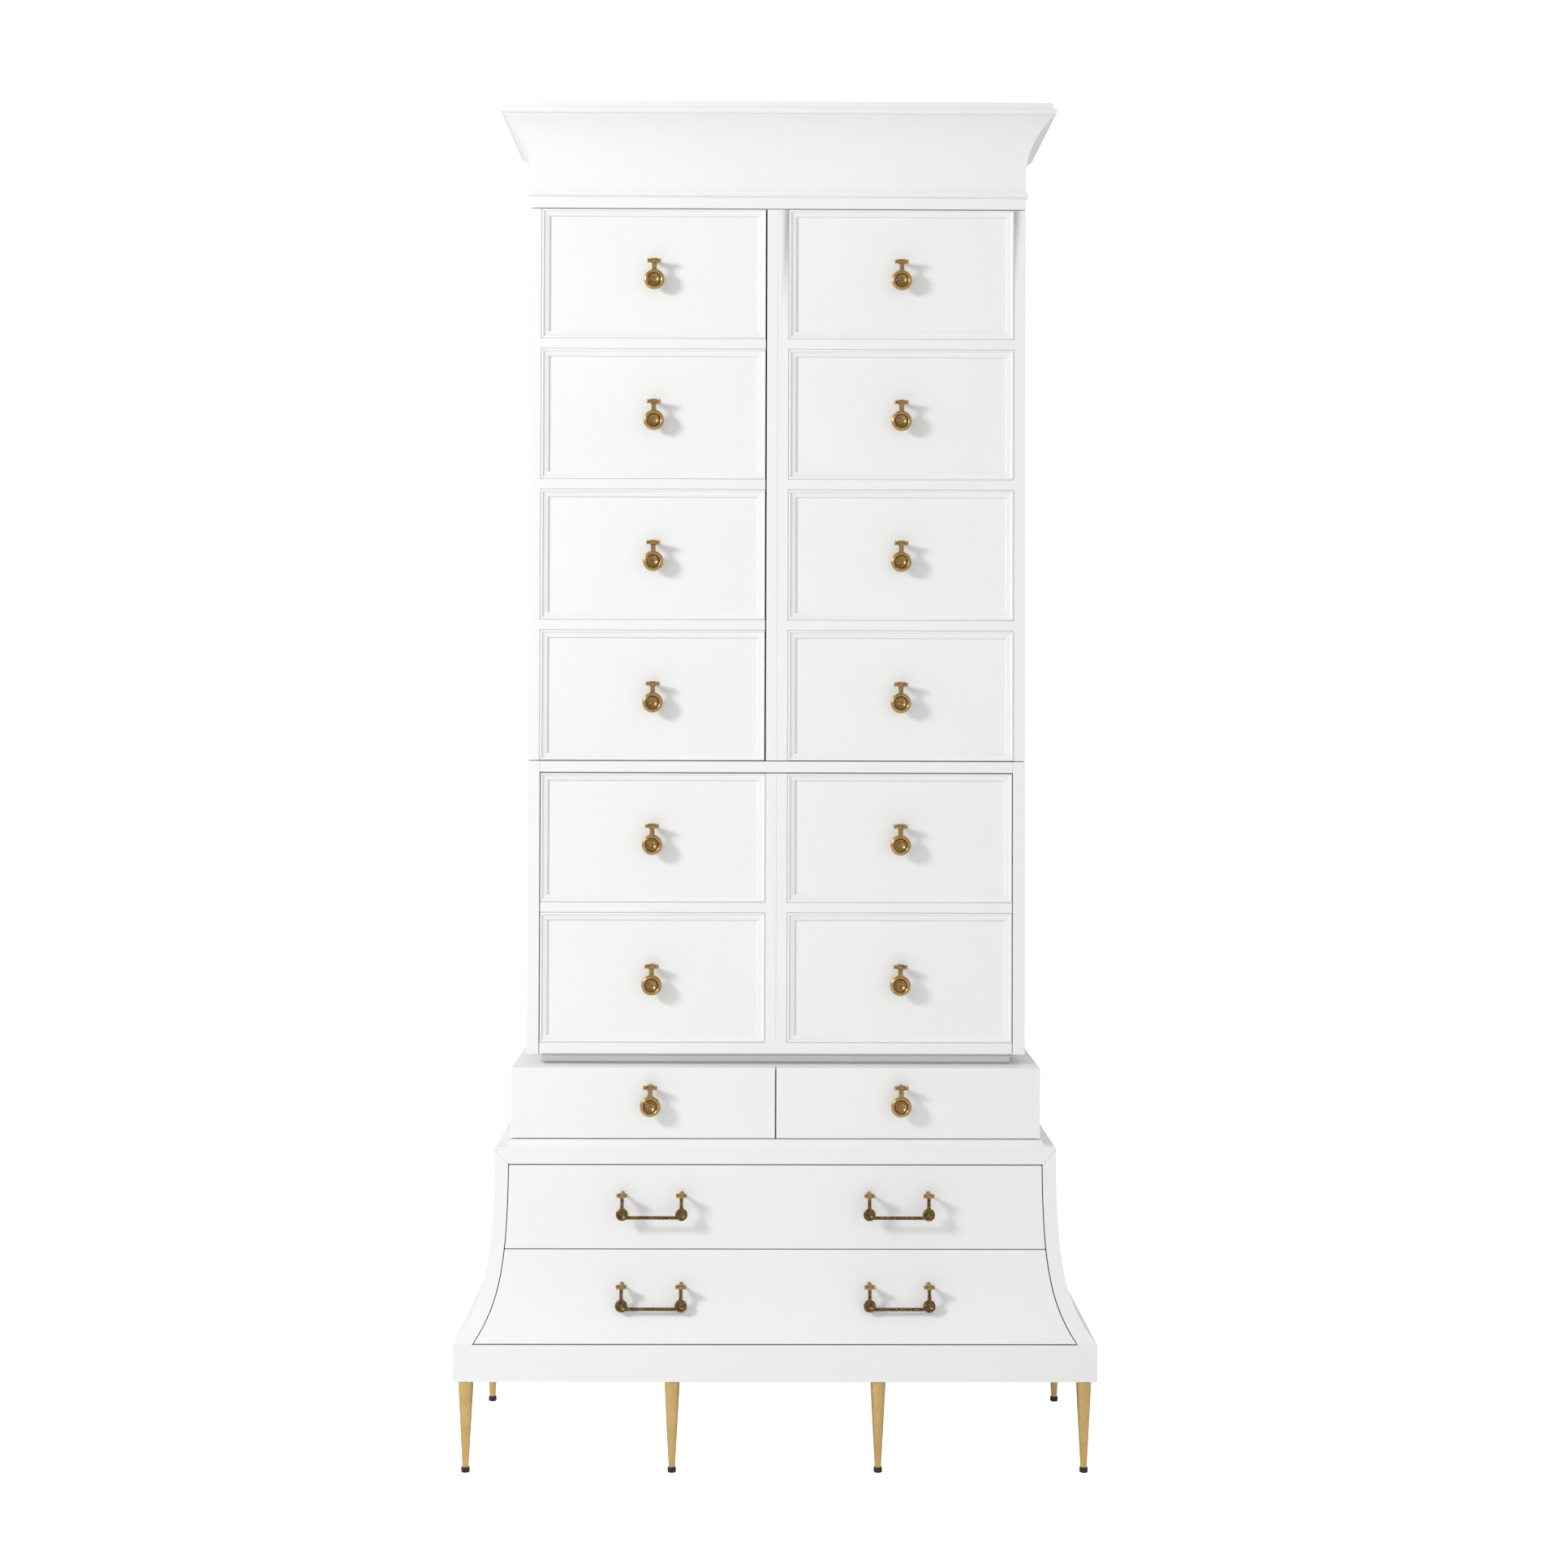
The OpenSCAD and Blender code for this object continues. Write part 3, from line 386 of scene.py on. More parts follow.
def tree_of_places():
    """Geometry tree that sets a copy of a made piece on each point and gives it a finish."""
    tree = bpy.data.node_groups.new("set_on_places", "GeometryNodeTree")
    face = tree.interface
    face.new_socket("Places", in_out="INPUT", socket_type="NodeSocketGeometry")
    face.new_socket("Made piece", in_out="INPUT", socket_type="NodeSocketObject")
    face.new_socket("Size", in_out="INPUT", socket_type="NodeSocketFloat")
    face.new_socket("Finish", in_out="INPUT", socket_type="NodeSocketMaterial")
    face.new_socket("Pieces", in_out="OUTPUT", socket_type="NodeSocketGeometry")
    given = add(tree, "NodeGroupInput").outputs
    piece = add(tree, "GeometryNodeObjectInfo", {"Object": given["Made piece"]}).outputs["Geometry"]
    points = add(tree, "GeometryNodeMeshToPoints", {"Mesh": given["Places"]}).outputs["Points"]
    copies = add(tree, "GeometryNodeInstanceOnPoints",
                 {"Points": points, "Instance": piece, "Scale": given["Size"]}).outputs["Instances"]
    real = add(tree, "GeometryNodeRealizeInstances", {"Geometry": copies}).outputs[0]
    coated = add(tree, "GeometryNodeSetMaterial", {"Geometry": real, "Material": given["Finish"]})
    add(tree, "NodeGroupOutput", {"Pieces": coated.outputs[0]})
    return tree


set_on_places = tree_of_places()


def set_pieces(name, made, places, finish, body, nodes=()):
    """Copies of a made piece on places, given in mm, as one plain mesh on a body."""
    mesh = bpy.data.meshes.new(name)
    mesh.from_pydata([Vector(p) * MM for p in places], [], [])
    piece = bpy.data.objects.new(name, mesh)
    bpy.context.scene.collection.objects.link(piece)
    modifier = piece.modifiers.new("set_on_places", "NODES")
    modifier.node_group = set_on_places
    sockets = {item.name: item.identifier for item in set_on_places.interface.items_tree
               if item.in_out == "INPUT"}
    modifier[sockets["Made piece"]] = made
    modifier[sockets["Size"]] = 1.0
    modifier[sockets["Finish"]] = finish
    bpy.context.view_layer.update()
    real = bpy.data.meshes.new_from_object(piece.evaluated_get(bpy.context.evaluated_depsgraph_get()))
    piece.modifiers.remove(modifier)
    piece.data = real
    real.name = name
    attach(piece, body)
    if nodes:
        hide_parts(*nodes)
    return piece


def pattern(name, parts, finish, patina=None):
    """A made piece that only serves to be copied; it is thrown away by clear_pattern."""
    return make_piece(name, parts, finish, None, patina=patina)


def clear_pattern(made):
    mesh = made.data
    bpy.data.objects.remove(made)
    bpy.data.meshes.remove(mesh)


leg_low, leg_high = node_mm("legs")
glide_high = node_mm("glides")[1]
leg_top_r = 13.5
leg_foot_r = 5.75
leg_plate = 2.5
rows_y = (leg_low.y + leg_top_r - 0.4, leg_high.y - leg_top_r + 0.4)
span = leg_high.x - leg_top_r + 0.4
leg_places = [(span * share, rows_y[0], 0) for share in (-1, -1 / 3, 1 / 3, 1)]
leg_places += [(-span, rows_y[1], 0), (span, rows_y[1], 0)]
leg_profile = [(leg_low.z, 0), (leg_low.z, leg_foot_r - 0.4), (leg_low.z + 0.4, leg_foot_r)]
leg_profile += [(leg_high.z - leg_plate - 0.8, leg_top_r), (leg_high.z - leg_plate, leg_top_r - 0.6),
                (leg_high.z - leg_plate, 0)]
leg = pattern("leg_pattern", [turned(leg_profile, around=64)], leg_brass)
set_pieces("brass_legs", leg, leg_places, leg_brass, "cabinet", ["legs"])
clear_pattern(leg)

# Thin steel plate, set back from the leg's rim; its near-black colour is painted shade for the dark gap
# between leg and plinth
gap_shade_plate_finish, tree = new_finish("painted_gap_shade_plate")
place = add(tree, "ShaderNodeTexCoord").outputs["Object"]
bloom = add(tree, "ShaderNodeTexNoise", {"Vector": place, "Scale": 1 / (6 * MM)}).outputs["Fac"]
metal = add(tree, "ShaderNodeMix", {"Factor": bloom, "A": linear("2A2724"), "B": linear("3A352F")},
            data_type="RGBA").outputs[2]
skin = add(tree, "ShaderNodeBsdfPrincipled", {"Base Color": metal, "Metallic": 1.0, "Roughness": 0.45})
add(tree, "ShaderNodeOutputMaterial", {"Surface": skin.outputs[0]})
plate_profile = [(leg_high.z - leg_plate, 0), (leg_high.z - leg_plate, leg_top_r - 2.5),
                 (leg_high.z, leg_top_r - 2.5), (leg_high.z, 0)]
plate = pattern("plate_pattern", [turned(plate_profile)], gap_shade_plate_finish)
set_pieces("leg_plates", plate, leg_places, gap_shade_plate_finish, "cabinet")
clear_pattern(plate)

# Moulded nylon glide: dull black with a fine spark-eroded texture
moulded_black, tree = new_finish("moulded_black_nylon")
place = add(tree, "ShaderNodeTexCoord").outputs["Object"]
grit = add(tree, "ShaderNodeTexNoise", {"Vector": place, "Scale": 1 / (0.8 * MM)}).outputs["Fac"]
body_black = add(tree, "ShaderNodeMix", {"Factor": grit, "A": linear("161514"), "B": linear("242322")},
                 data_type="RGBA").outputs[2]
rise = add(tree, "ShaderNodeBump", {"Height": grit, "Strength": 0.3, "Distance": 0.05 * MM}).outputs[0]
skin = add(tree, "ShaderNodeBsdfPrincipled",
           {"Base Color": body_black, "Roughness": 0.5, "Normal": rise, "IOR": 1.53})
add(tree, "ShaderNodeOutputMaterial", {"Surface": skin.outputs[0]})
glide_r = glide_high.x - span
glide_profile = rounded([(0, 0)], (1.5, glide_r - 1.5), 1.5, 180, 90)
glide_profile = rounded(glide_profile, (glide_high.z - 1.2, glide_r - 1.2), 1.2, 90, 0)
glide_profile += [(glide_high.z, 0)]
glide = pattern("glide_pattern", [turned(glide_profile)], moulded_black)
set_pieces("leg_glides", glide, leg_places, moulded_black, "cabinet", ["glides"])
clear_pattern(glide)


# ---------------------------------------------------------------- plinth
# Four flat rails, mitred at the front corners, glued round the deck board that the legs screw to.
def mitred_run(profile, half_w, face, back, hair=0.1):
    """Three lengths of moulding round the front and the sides, mitred at the front corners with a
    hairline. The profile's points are (outwards, up) from the box that they run round."""
    def station(x_sign, y_kind, shift_x, shift_y):
        ring = []
        for out, up in profile:
            y = face - out + shift_y if y_kind == "front" else back
            ring.append((x_sign * (half_w + out) + shift_x, y, up))
        return ring
    front = skin_rings([station(-1, "front", hair, 0), station(1, "front", -hair, 0)])
    left = skin_rings([station(-1, "back", 0, 0), station(-1, "front", 0, hair)])
    right = skin_rings([station(1, "front", 0, hair), station(1, "back", 0, 0)])
    return [front, left, right]


rail_t = 20
rail_profile = [(0, base_low.z), (0, base_high.z), (-rail_t, base_high.z), (-rail_t, base_low.z)]
rails = mitred_run(rail_profile, base_high.x, base_low.y, base_high.y)
rails.append(board((base_low.x + rail_t + 0.2, base_high.y - rail_t, base_low.z),
                   (base_high.x - rail_t - 0.2, base_high.y, base_high.z)))
make_piece("plinth_rail_boards", rails, level_lacquer, "cabinet", ["plinth_rails"],
           eased=0.8)


# ---------------------------------------------------------------- flared chest
# Two side boards, a mitred front frame and two wide drawer fronts, bent to one ogee sweep that
# stands upright at the top and runs out at the foot. Laminated, faired and lacquered.
chest_base_z = base_high.z
chest_top_z = node_mm("chest_top")[0].z
sweep_run = 64.5
sweep_upright = 210
sweep_foot = 75
sweep_lean = math.radians(39)
board_t = 20
foot_strip, top_strip = 33.5, 24.0
joint = 0.2
front_gap = 1.7  # at each end of a wide front
level_grow = 0.4  # each front stands this much taller than its node, so the gaps look fine
chest_h = chest_top_z - chest_base_z
handles = [(sweep_run, chest_h), (sweep_run, chest_h - sweep_upright),
           (sweep_foot * math.sin(sweep_lean), sweep_foot * math.cos(sweep_lean)), (0, 0)]


def along_sweep(t):
    weights = ((1 - t) ** 3, 3 * (1 - t) ** 2 * t, 3 * (1 - t) * t * t, t ** 3)
    return [sum(w * p[i] for w, p in zip(weights, handles)) for i in (0, 1)]


def run_at(z):
    """How far the chest's face lies behind its foot at a height z."""
    low, high = 0.0, 1.0
    for _ in range(40):
        middle = (low + high) / 2
        if along_sweep(middle)[1] > z - chest_base_z:
            low = middle
        else:
            high = middle
    return along_sweep((low + high) / 2)[0]


def strip_at(z):
    """Width of the front frame's stile at a height z."""
    return foot_strip + (top_strip - foot_strip) * run_at(z) / sweep_run


def bent_board(z0, z1, left, right, rows=40):
    """Part of the bent front between two heights; left and right give its edges at a height."""
    rings = []
    for i in range(rows + 1):
        z = z0 + (z1 - z0) * i / rows
        y = base_low.y + run_at(z)
        rings.append([(left(z), y, z), (right(z), y, z),
                      (right(z), y + board_t, z), (left(z), y + board_t, z)])
    return skin_rings(rings)


frame_low = node_mm("upper_wide_front")
rail_z = frame_low[1].z + 2.5
chest_x = base_high.x - sweep_run
side_boards = []
for sign in (-1, 1):
    rings = []
    for i in range(61):
        z = chest_base_z + chest_h * i / 60
        x = base_high.x - run_at(z)
        y = base_low.y + run_at(z) + board_t + joint
        rings.append([(sign * x, y, z), (sign * x, base_high.y, z),
                      (sign * (x - board_t), base_high.y, z), (sign * (x - board_t), y, z)])
    side_boards.append(skin_rings(rings))
make_piece("chest_side_boards", side_boards, side_lacquer, "cabinet", ["chest_sides"],
           eased=0.6)


def outer_edge(z):
    return base_high.x - run_at(z)


def stile_inner(z):
    if z > rail_z:
        return chest_x - top_strip + top_strip * (z - rail_z) / (chest_top_z - rail_z) + joint / 2
    return outer_edge(z) - strip_at(z)


def rail_end(z):
    return stile_inner(z) - joint


stile_parts = []
stile_z = [chest_base_z + (rail_z - chest_base_z) * i / 50 for i in range(50)]
stile_z += [rail_z + (chest_top_z - 0.05 - rail_z) * i / 8 for i in range(9)]
for sign in (-1, 1):
    rings = []
    for z in stile_z:
        y = base_low.y + run_at(z)
        a, b = sign * stile_inner(z), sign * outer_edge(z)
        rings.append([(a, y, z), (b, y, z), (b, y + board_t, z), (a, y + board_t, z)])
    stile_parts.append(skin_rings(rings))
make_piece("chest_frame_stiles", stile_parts, upright_lacquer, "cabinet", eased=0.5)
make_piece("chest_frame_rail", [bent_board(rail_z, chest_top_z, lambda z: -rail_end(z), rail_end, 8)],
           level_lacquer, "cabinet", ["chest_frame"], eased=0.5)

for tier in ("upper", "lower"):
    low, high = node_mm(f"{tier}_wide_front")
    front_board = bent_board(low.z - level_grow, high.z + level_grow,
                             lambda z: -outer_edge(z) + strip_at(z) + front_gap,
                             lambda z: outer_edge(z) - strip_at(z) - front_gap)
    make_piece(f"{tier}_wide_drawer_front", [front_board], level_lacquer,
               f"{tier}_wide_drawer", [f"{tier}_wide_front"], eased=0.8)


# ---------------------------------------------------------------- ledge moulding
# Small cove run on the router, mitred round the foot of the small drawer tier and pinned.
tier_high = node_mm("tier_top")[1]
small_low = node_mm("small_left_front", "small_right_front")[0]
ledge_low, ledge_high = node_mm("ledge_moulding")
ledge_w = ledge_high.x - tier_high.x
ledge_back = 4
cove_r = ledge_high.z - ledge_low.z - 6.5
lip_z = ledge_low.z + 4
profile = [(-ledge_back, ledge_low.z), (ledge_w, ledge_low.z)]
profile = rounded(profile, (ledge_w - 1.5, lip_z - 1.5), 1.5, 0, 90, 4)
cove = [(2.5 + (ledge_w - 5) * (1 - math.sin(math.radians(a))),
         lip_z + cove_r * (1 - math.cos(math.radians(a))))
        for a in range(0, 91, 10)]
profile += cove + [(2.5, ledge_high.z), (-ledge_back, ledge_high.z)]
make_piece("ledge_cove_lengths", mitred_run(profile, tier_high.x, small_low.y, ledge_high.y),
           level_lacquer, "cabinet", ["ledge_moulding"])


# ---------------------------------------------------------------- small drawer fronts
# Two flat fronts that cover the tier's edges and meet in the middle; edges eased and lacquered.
for side in ("left", "right"):
    make_piece(f"small_{side}_drawer_front", [board(*node_mm(f"small_{side}_front"))], level_lacquer,
               f"small_{side}_drawer", [f"small_{side}_front"], eased=0.8)


# ---------------------------------------------------------------- recessed plinth
# Narrow moulded strip under the desk case, set back so that the case seems to float over it.
low, high = node_mm("recessed_plinth")
strip_t = 16
rebate_w, rebate_h = 6, 3.5
scoop_r = 3
profile = [(-strip_t, low.z), (-rebate_w, low.z), (-rebate_w, low.z + rebate_h),
           (0, low.z + rebate_h), (0, high.z - 2 * scoop_r)]
profile = rounded(profile, (0, high.z - scoop_r), scoop_r, 270, 180, 5)
profile += [(-scoop_r, high.z), (-strip_t, high.z)]
make_piece("recessed_plinth_lengths", mitred_run(profile, high.x, low.y, high.y), level_lacquer,
           "cabinet", ["recessed_plinth"])


# ---------------------------------------------------------------- doors and fall front
# Solid leaves with sunk panels. Round each panel a router has cut a fine dark groove, a rounded
# lip, a cove and a thin step, then the sharp drop to the flat panel. A fine V marks the meeting
# line of the centre strips.
groove = 1.8
flush_groove = 0.3
lip = 2.8
cove_in, cove_drop = 8.6, 2.2
step_in = 11.4
step_drop = 3.1
panel_in = 12.5
panel_drop = 6.0
strip = 20.5

tray_profile = [("groove", 1.0, 0.0), ("groove", 0.9, 2.2), ("groove", 0.1, 2.2)]
tray_profile += [("in", 0.0, 0.5), ("in", 0.15, 0.15), ("in", 0.5, 0.0), ("in", lip - 0.5, 0.0),
                 ("in", lip - 0.1, 0.12), ("in", lip, 0.4)]
for step in range(1, 9):
    angle = math.radians(90 * step / 8)
    tray_profile.append(("in", lip + (cove_in - lip) * (1 - math.cos(angle)),
                         0.4 + cove_drop * math.sin(angle)))
tray_profile += [("in", cove_in + 0.15, step_drop), ("in", step_in, step_drop),
                 ("in", step_in + 0.6, step_drop + 0.25), ("in", step_in + 0.9, step_drop + 0.7),
                 ("in", panel_in, panel_drop - 0.4), ("in", panel_in, panel_drop)]
seam_profile = [("groove", 1.0, 0.0), ("groove", 0.5, 0.7), ("in", 0.0, 0.9)]


def sunk_rings(outer, grooves, profile, xs, zs, face_y):
    """Rings of one sunk shape. outer is (x0, x1, z0, z1) of its lip, grooves the four widths of the
    groove outside it, and xs, zs the leaf's grid lines, whose points every ring keeps."""
    x0, x1, z0, z1 = outer
    left, right, low, high = grooves
    out = (x0 - left, x1 + right, z0 - low, z1 + high)
    xs = [x for x in xs if out[0] + 1e-6 < x < out[1] - 1e-6]
    zs = [z for z in zs if out[2] + 1e-6 < z < out[3] - 1e-6]
    rings = []
    for kind, amount, depth in profile:
        if kind == "groove":
            a, b, c, d = x0 - left * amount, x1 + right * amount, z0 - low * amount, z1 + high * amount
        else:
            a, b, c, d = x0 + amount, x1 - amount, z0 + amount, z1 - amount
        ring = [(a, c)] + [(min(max(x, a), b), c) for x in xs] + [(b, c)]
        ring += [(b, min(max(z, c), d)) for z in zs] + [(b, d)]
        ring += [(min(max(x, a), b), d) for x in reversed(xs)] + [(a, d)]
        ring += [(a, min(max(z, c), d)) for z in reversed(zs)]
        rings.append([(x, face_y + depth, z) for x, z in ring])
    return rings


def panelled_leaf(low, high, trays, seams, hinge_cut=(0, 0)):
    """A leaf's skin: flat strips, sunk trays and seams in front, eased cut at the hinge behind."""
    sunk = [(outer, grooves, tray_profile) for outer, grooves in trays]
    sunk += [(outer, grooves, seam_profile) for outer, grooves in seams]
    outs = [(o[0] - g[0], o[1] + g[1], o[2] - g[2], o[3] + g[3]) for o, g, _ in sunk]
    xs = sorted(set(round(x, 4) for x in [low.x, high.x] + [v for o in outs for v in o[:2]]))
    zs = sorted(set(round(z, 4) for z in [low.z, high.z] + [v for o in outs for v in o[2:]]))
    parts_points, parts_faces = [], []

    def join(points, faces):
        start = len(parts_points)
        parts_points.extend(points)
        parts_faces.extend(tuple(start + i for i in face) for face in faces)

    for x0, x1 in zip(xs, xs[1:]):
        for z0, z1 in zip(zs, zs[1:]):
            x, z = (x0 + x1) / 2, (z0 + z1) / 2
            if any(o[0] < x < o[1] and o[2] < z < o[3] for o in outs):
                continue
            join([(x0, low.y, z0), (x1, low.y, z0), (x1, low.y, z1), (x0, low.y, z1)], [(0, 1, 2, 3)])
    for outer, grooves, profile in sunk:
        join(*skin_rings(sunk_rings(outer, grooves, profile, xs, zs, low.y), start_cap=False))
    around = [(x, low.z) for x in xs] + [(high.x, z) for z in zs[1:]]
    around += [(x, high.z) for x in reversed(xs[:-1])] + [(low.x, z) for z in reversed(zs[1:-1])]
    cut = max(hinge_cut)
    rings = [[(x, low.y, z) for x, z in around], [(x, high.y - cut, z) for x, z in around],
             [(min(max(x, low.x + hinge_cut[0]), high.x - hinge_cut[1]), high.y, z) for x, z in around]]
    join(*skin_rings(rings, start_cap=False))
    return parts_points, parts_faces


def rows_of(z0, z1, rows, gap_below):
    """Lowest and highest edge of each row of panels, from the bottom up."""
    height = (z1 - z0 - gap_below - (rows - 1) * strip) / rows
    return [(z0 + gap_below + i * (height + strip), z0 + gap_below + i * (height + strip) + height)
            for i in range(rows)]


hinge_chamfer = 3.0
door_rows = 4
flap_rows = 2
edge = flush_groove
for side in ("left", "right"):
    low, high = node_mm(f"{side}_door")
    trays, seams = [], []
    for i, (z0, z1) in enumerate(rows_of(low.z, high.z, door_rows, 0)):
        bottom = edge if i == 0 else groove
        top = edge if i == door_rows - 1 else groove
        z0, z1 = z0 + (edge if i == 0 else 0), z1 - (edge if i == door_rows - 1 else 0)
        if side == "left":
            trays.append(((-inner_x, high.x - edge, z0, z1), (groove, edge, bottom, top)))
        else:
            trays.append(((strip, inner_x, z0, z1), (groove, groove, bottom, top)))
    if side == "right":
        seams = [((-0.05, 0.05, low.z + 0.4, high.z - 0.4), (0.5, 0.5, 0.4, 0.4))]
    cut = (hinge_chamfer, 0) if side == "left" else (0, hinge_chamfer)
    make_piece(f"{side}_door_leaf", [panelled_leaf(low, high, trays, seams, cut)], upright_lacquer,
               f"{side}_door", [f"{side}_door"])
low, high = node_mm("fall_front")
trays = []
for i, (z0, z1) in enumerate(rows_of(low.z, high.z, flap_rows, strip)):
    top = edge if i == flap_rows - 1 else groove
    z1 -= edge if i == flap_rows - 1 else 0
    trays.append(((low.x + edge, -strip, z0, z1), (edge, groove, groove, top)))
    trays.append(((strip, high.x - edge, z0, z1), (groove, edge, groove, top)))
seams = [((-0.05, 0.05, low.z + strip, high.z - 0.4), (0.5, 0.5, 0.4, 0.4))]
make_piece("fall_front_leaf", [panelled_leaf(low, high, trays, seams)], level_lacquer,
           "fall_front", ["fall_front"])


# ---------------------------------------------------------------- cornice
# Deep cove with a bead and a flat band over it, run in lengths, mitred at the front corners and
# glued to the case top. It is open at the top. A half-round astragal is pinned over its foot.
low, high = node_mm("cornice")
case_x = side_high.x
case_y = front_edge
cornice_t = 16
bead_r = 6.0
reach = high.x - case_x - bead_r
band_h = 11.0
cove_r = 133.0
cove_lip = 1.5
bead_z = high.z - band_h - bead_r
cove_top = bead_z - bead_r - 2
rise = math.sqrt(cove_r ** 2 - (cove_r - reach + cove_lip) ** 2)
cove_foot = cove_top - rise
profile = [(-cornice_t, low.z), (0, low.z)]
cove_end = 180 - math.degrees(math.asin(rise / cove_r))
profile = rounded(profile, (cove_r, cove_foot), cove_r, 180, cove_end, 40)
profile += [(reach - 0.8, cove_top), (reach - 0.8, bead_z - bead_r)]
profile = rounded(profile, (reach, bead_z), bead_r, -90, 90, 16)
profile = rounded(profile, (reach - 0.8, high.z - 0.8), 0.8, 0, 90, 3) + [(-cornice_t, high.z)]
make_piece("cornice_lengths", mitred_run(profile, case_x, case_y, high.y), level_lacquer,
           "cabinet", ["cornice"])
low, high = node_mm("astragal")
bead_out = high.x - case_x - joint
half_h = (high.z - low.z) / 2
seat = 0.02
middle_z = (high.z + low.z) / 2
profile = [(seat + bead_out * math.cos(math.radians(a)), middle_z + half_h * math.sin(math.radians(a)))
           for a in range(-90, 91, 12)]
make_piece("astragal_lengths", mitred_run(profile, case_x, case_y, high.y), level_lacquer,
           "cabinet", ["astragal"])


# ---------------------------------------------------------------- drop pulls
# Cast and turned brass in a rubbed antique finish: two beads on a pin in a yoke on a
# stem, and between them a barrel with a strap and a dished disc that hangs free. The wash is
# rubbed off the high rims and stays dark in the dish and the grooves.
antique_brass, tree = new_finish("antique_brass_rubbed")
place = add(tree, "ShaderNodeTexCoord").outputs["Object"]
mark = add(tree, "ShaderNodeAttribute", attribute_name="patina").outputs["Fac"]
wash_size, scratch_size = 4 * MM, 0.7 * MM
wash = add(tree, "ShaderNodeTexNoise",
           {"Vector": place, "Scale": 1 / wash_size, "Detail": 3.0}).outputs["Fac"]
scratch = add(tree, "ShaderNodeTexNoise", {"Vector": place, "Scale": 1 / scratch_size}).outputs["Fac"]
rubbed = add(tree, "ShaderNodeMix", {"Factor": wash, "A": linear("D0AF79"), "B": linear("AD8956")},
             data_type="RGBA").outputs[2]
depth = add(tree, "ShaderNodeMath", {0: mark, 1: wash}, operation="ADD").outputs[0]
depth = add(tree, "ShaderNodeMapRange", {"Value": depth, 1: 0.55, 2: 1.35}).outputs[0]
metal = add(tree, "ShaderNodeMix", {"Factor": depth, "A": rubbed, "B": linear("40301A")},
            data_type="RGBA").outputs[2]
satin = add(tree, "ShaderNodeMapRange", {"Value": depth, 1: 0.0, 2: 1.0, 3: 0.26, 4: 0.5}).outputs[0]
rise = add(tree, "ShaderNodeBump", {"Height": scratch, "Strength": 0.2, "Distance": 0.05 * MM}).outputs[0]
skin = add(tree, "ShaderNodeBsdfPrincipled",
           {"Base Color": metal, "Metallic": 1.0, "Roughness": satin, "Normal": rise})
add(tree, "ShaderNodeOutputMaterial", {"Surface": skin.outputs[0]})

eye_r = 4.6
pin_r = 1.75
eye_gap = 0.4
yoke_t = 2.3
yoke_h = 4.4


def bead_profile(x0, x1):
    """A collar, a neck and a bead from x0 out to x1, as (along, radius)."""
    length = x1 - x0
    points = [(x0, 0), (x0, 3.8), (x0 + 0.3, 4.3), (x0 + 0.2 * length, 4.3), (x0 + 0.26 * length, 3.9),
              (x0 + 0.32 * length, 3.2), (x0 + 0.4 * length, 3.1)]
    centre, half = x0 + 0.7 * length, 0.3 * length
    for i in range(1, 13):
        angle = math.radians(155 - 155 * i / 12)
        points.append((centre + half * math.cos(angle), 4.0 * math.sin(angle) + 0.05))
    return points + [(x1, 0)]


def pull_head(eye_w, bar_l, stand, sunk):
    """Stem, yoke, pin and end beads about a pin on the X axis; the face lies at y = stand."""
    inner = eye_w / 2 + eye_gap
    parts = [turned(bead_profile(inner, bar_l / 2), "X", around=32)]
    mirrored = [(-x, r) for x, r in bead_profile(inner, bar_l / 2)]
    parts.append(turned(mirrored, "X", around=32))
    parts.append(turned([(-inner - 0.5, 0), (-inner - 0.5, pin_r), (inner + 0.5, pin_r), (inner + 0.5, 0)],
                        "X", around=24))
    back = eye_r + 1.2
    for sign in (-1, 1):
        x0, x1 = sorted((sign * inner, sign * (inner + yoke_t)))
        parts.append(board((x0, 0, -yoke_h / 2), (x1, back + yoke_t, yoke_h / 2)))
    parts.append(board((-inner, back, -yoke_h / 2), (inner, back + yoke_t, yoke_h / 2)))
    stem = [(back + 1, 0), (back + 1, 3.4), (back + 2.6, 3.4), (back + 3.4, 2.6), (stand - 3.4, 2.6),
            (stand - 2.0, 3.0), (stand - 1.2, 3.4), (stand, 3.4), (stand + sunk, 3.4), (stand + sunk, 0)]
    parts.append(turned(stem, "Y", around=32))
    return parts


neck_w = 10.3
pull_bar = 25.7
drop = 33.5
disc_r = 18.3
disc_profile = [(3.5, 0), (3.5, 16.6), (2.9, 17.7), (1.6, disc_r), (0.4, disc_r), (-0.9, 17.9),
                (-2.0, 17.1), (-2.9, 15.9), (-3.3, 14.6), (-3.2, 13.4), (-2.6, 12.4), (-1.7, 11.7),
                (-0.9, 11.4),
                (-0.7, 11.0), (-0.9, 10.7), (-2.0, 10.5), (-3.0, 10.1), (-3.4, 9.6), (-3.3, 9.0),
                (-2.7, 8.4), (-1.7, 7.4), (-0.7, 6.0), (0.1, 4.2), (0.5, 2.1), (0.6, 0)]


def barrel(width, radius, x=0.0):
    """The eye that turns on the pin, with a fine line cut near each end."""
    half = width / 2
    side = [(half, 2.0), (half, radius - 0.5), (half - 0.5, radius), (half - 1.6, radius),
            (half - 1.8, radius - 0.3), (half - 2.0, radius)]
    points = [(-a, r) for a, r in side] + [(a, r) for a, r in reversed(side)]
    return turned(points + [points[0]], "X", (x, 0, 0), around=40)


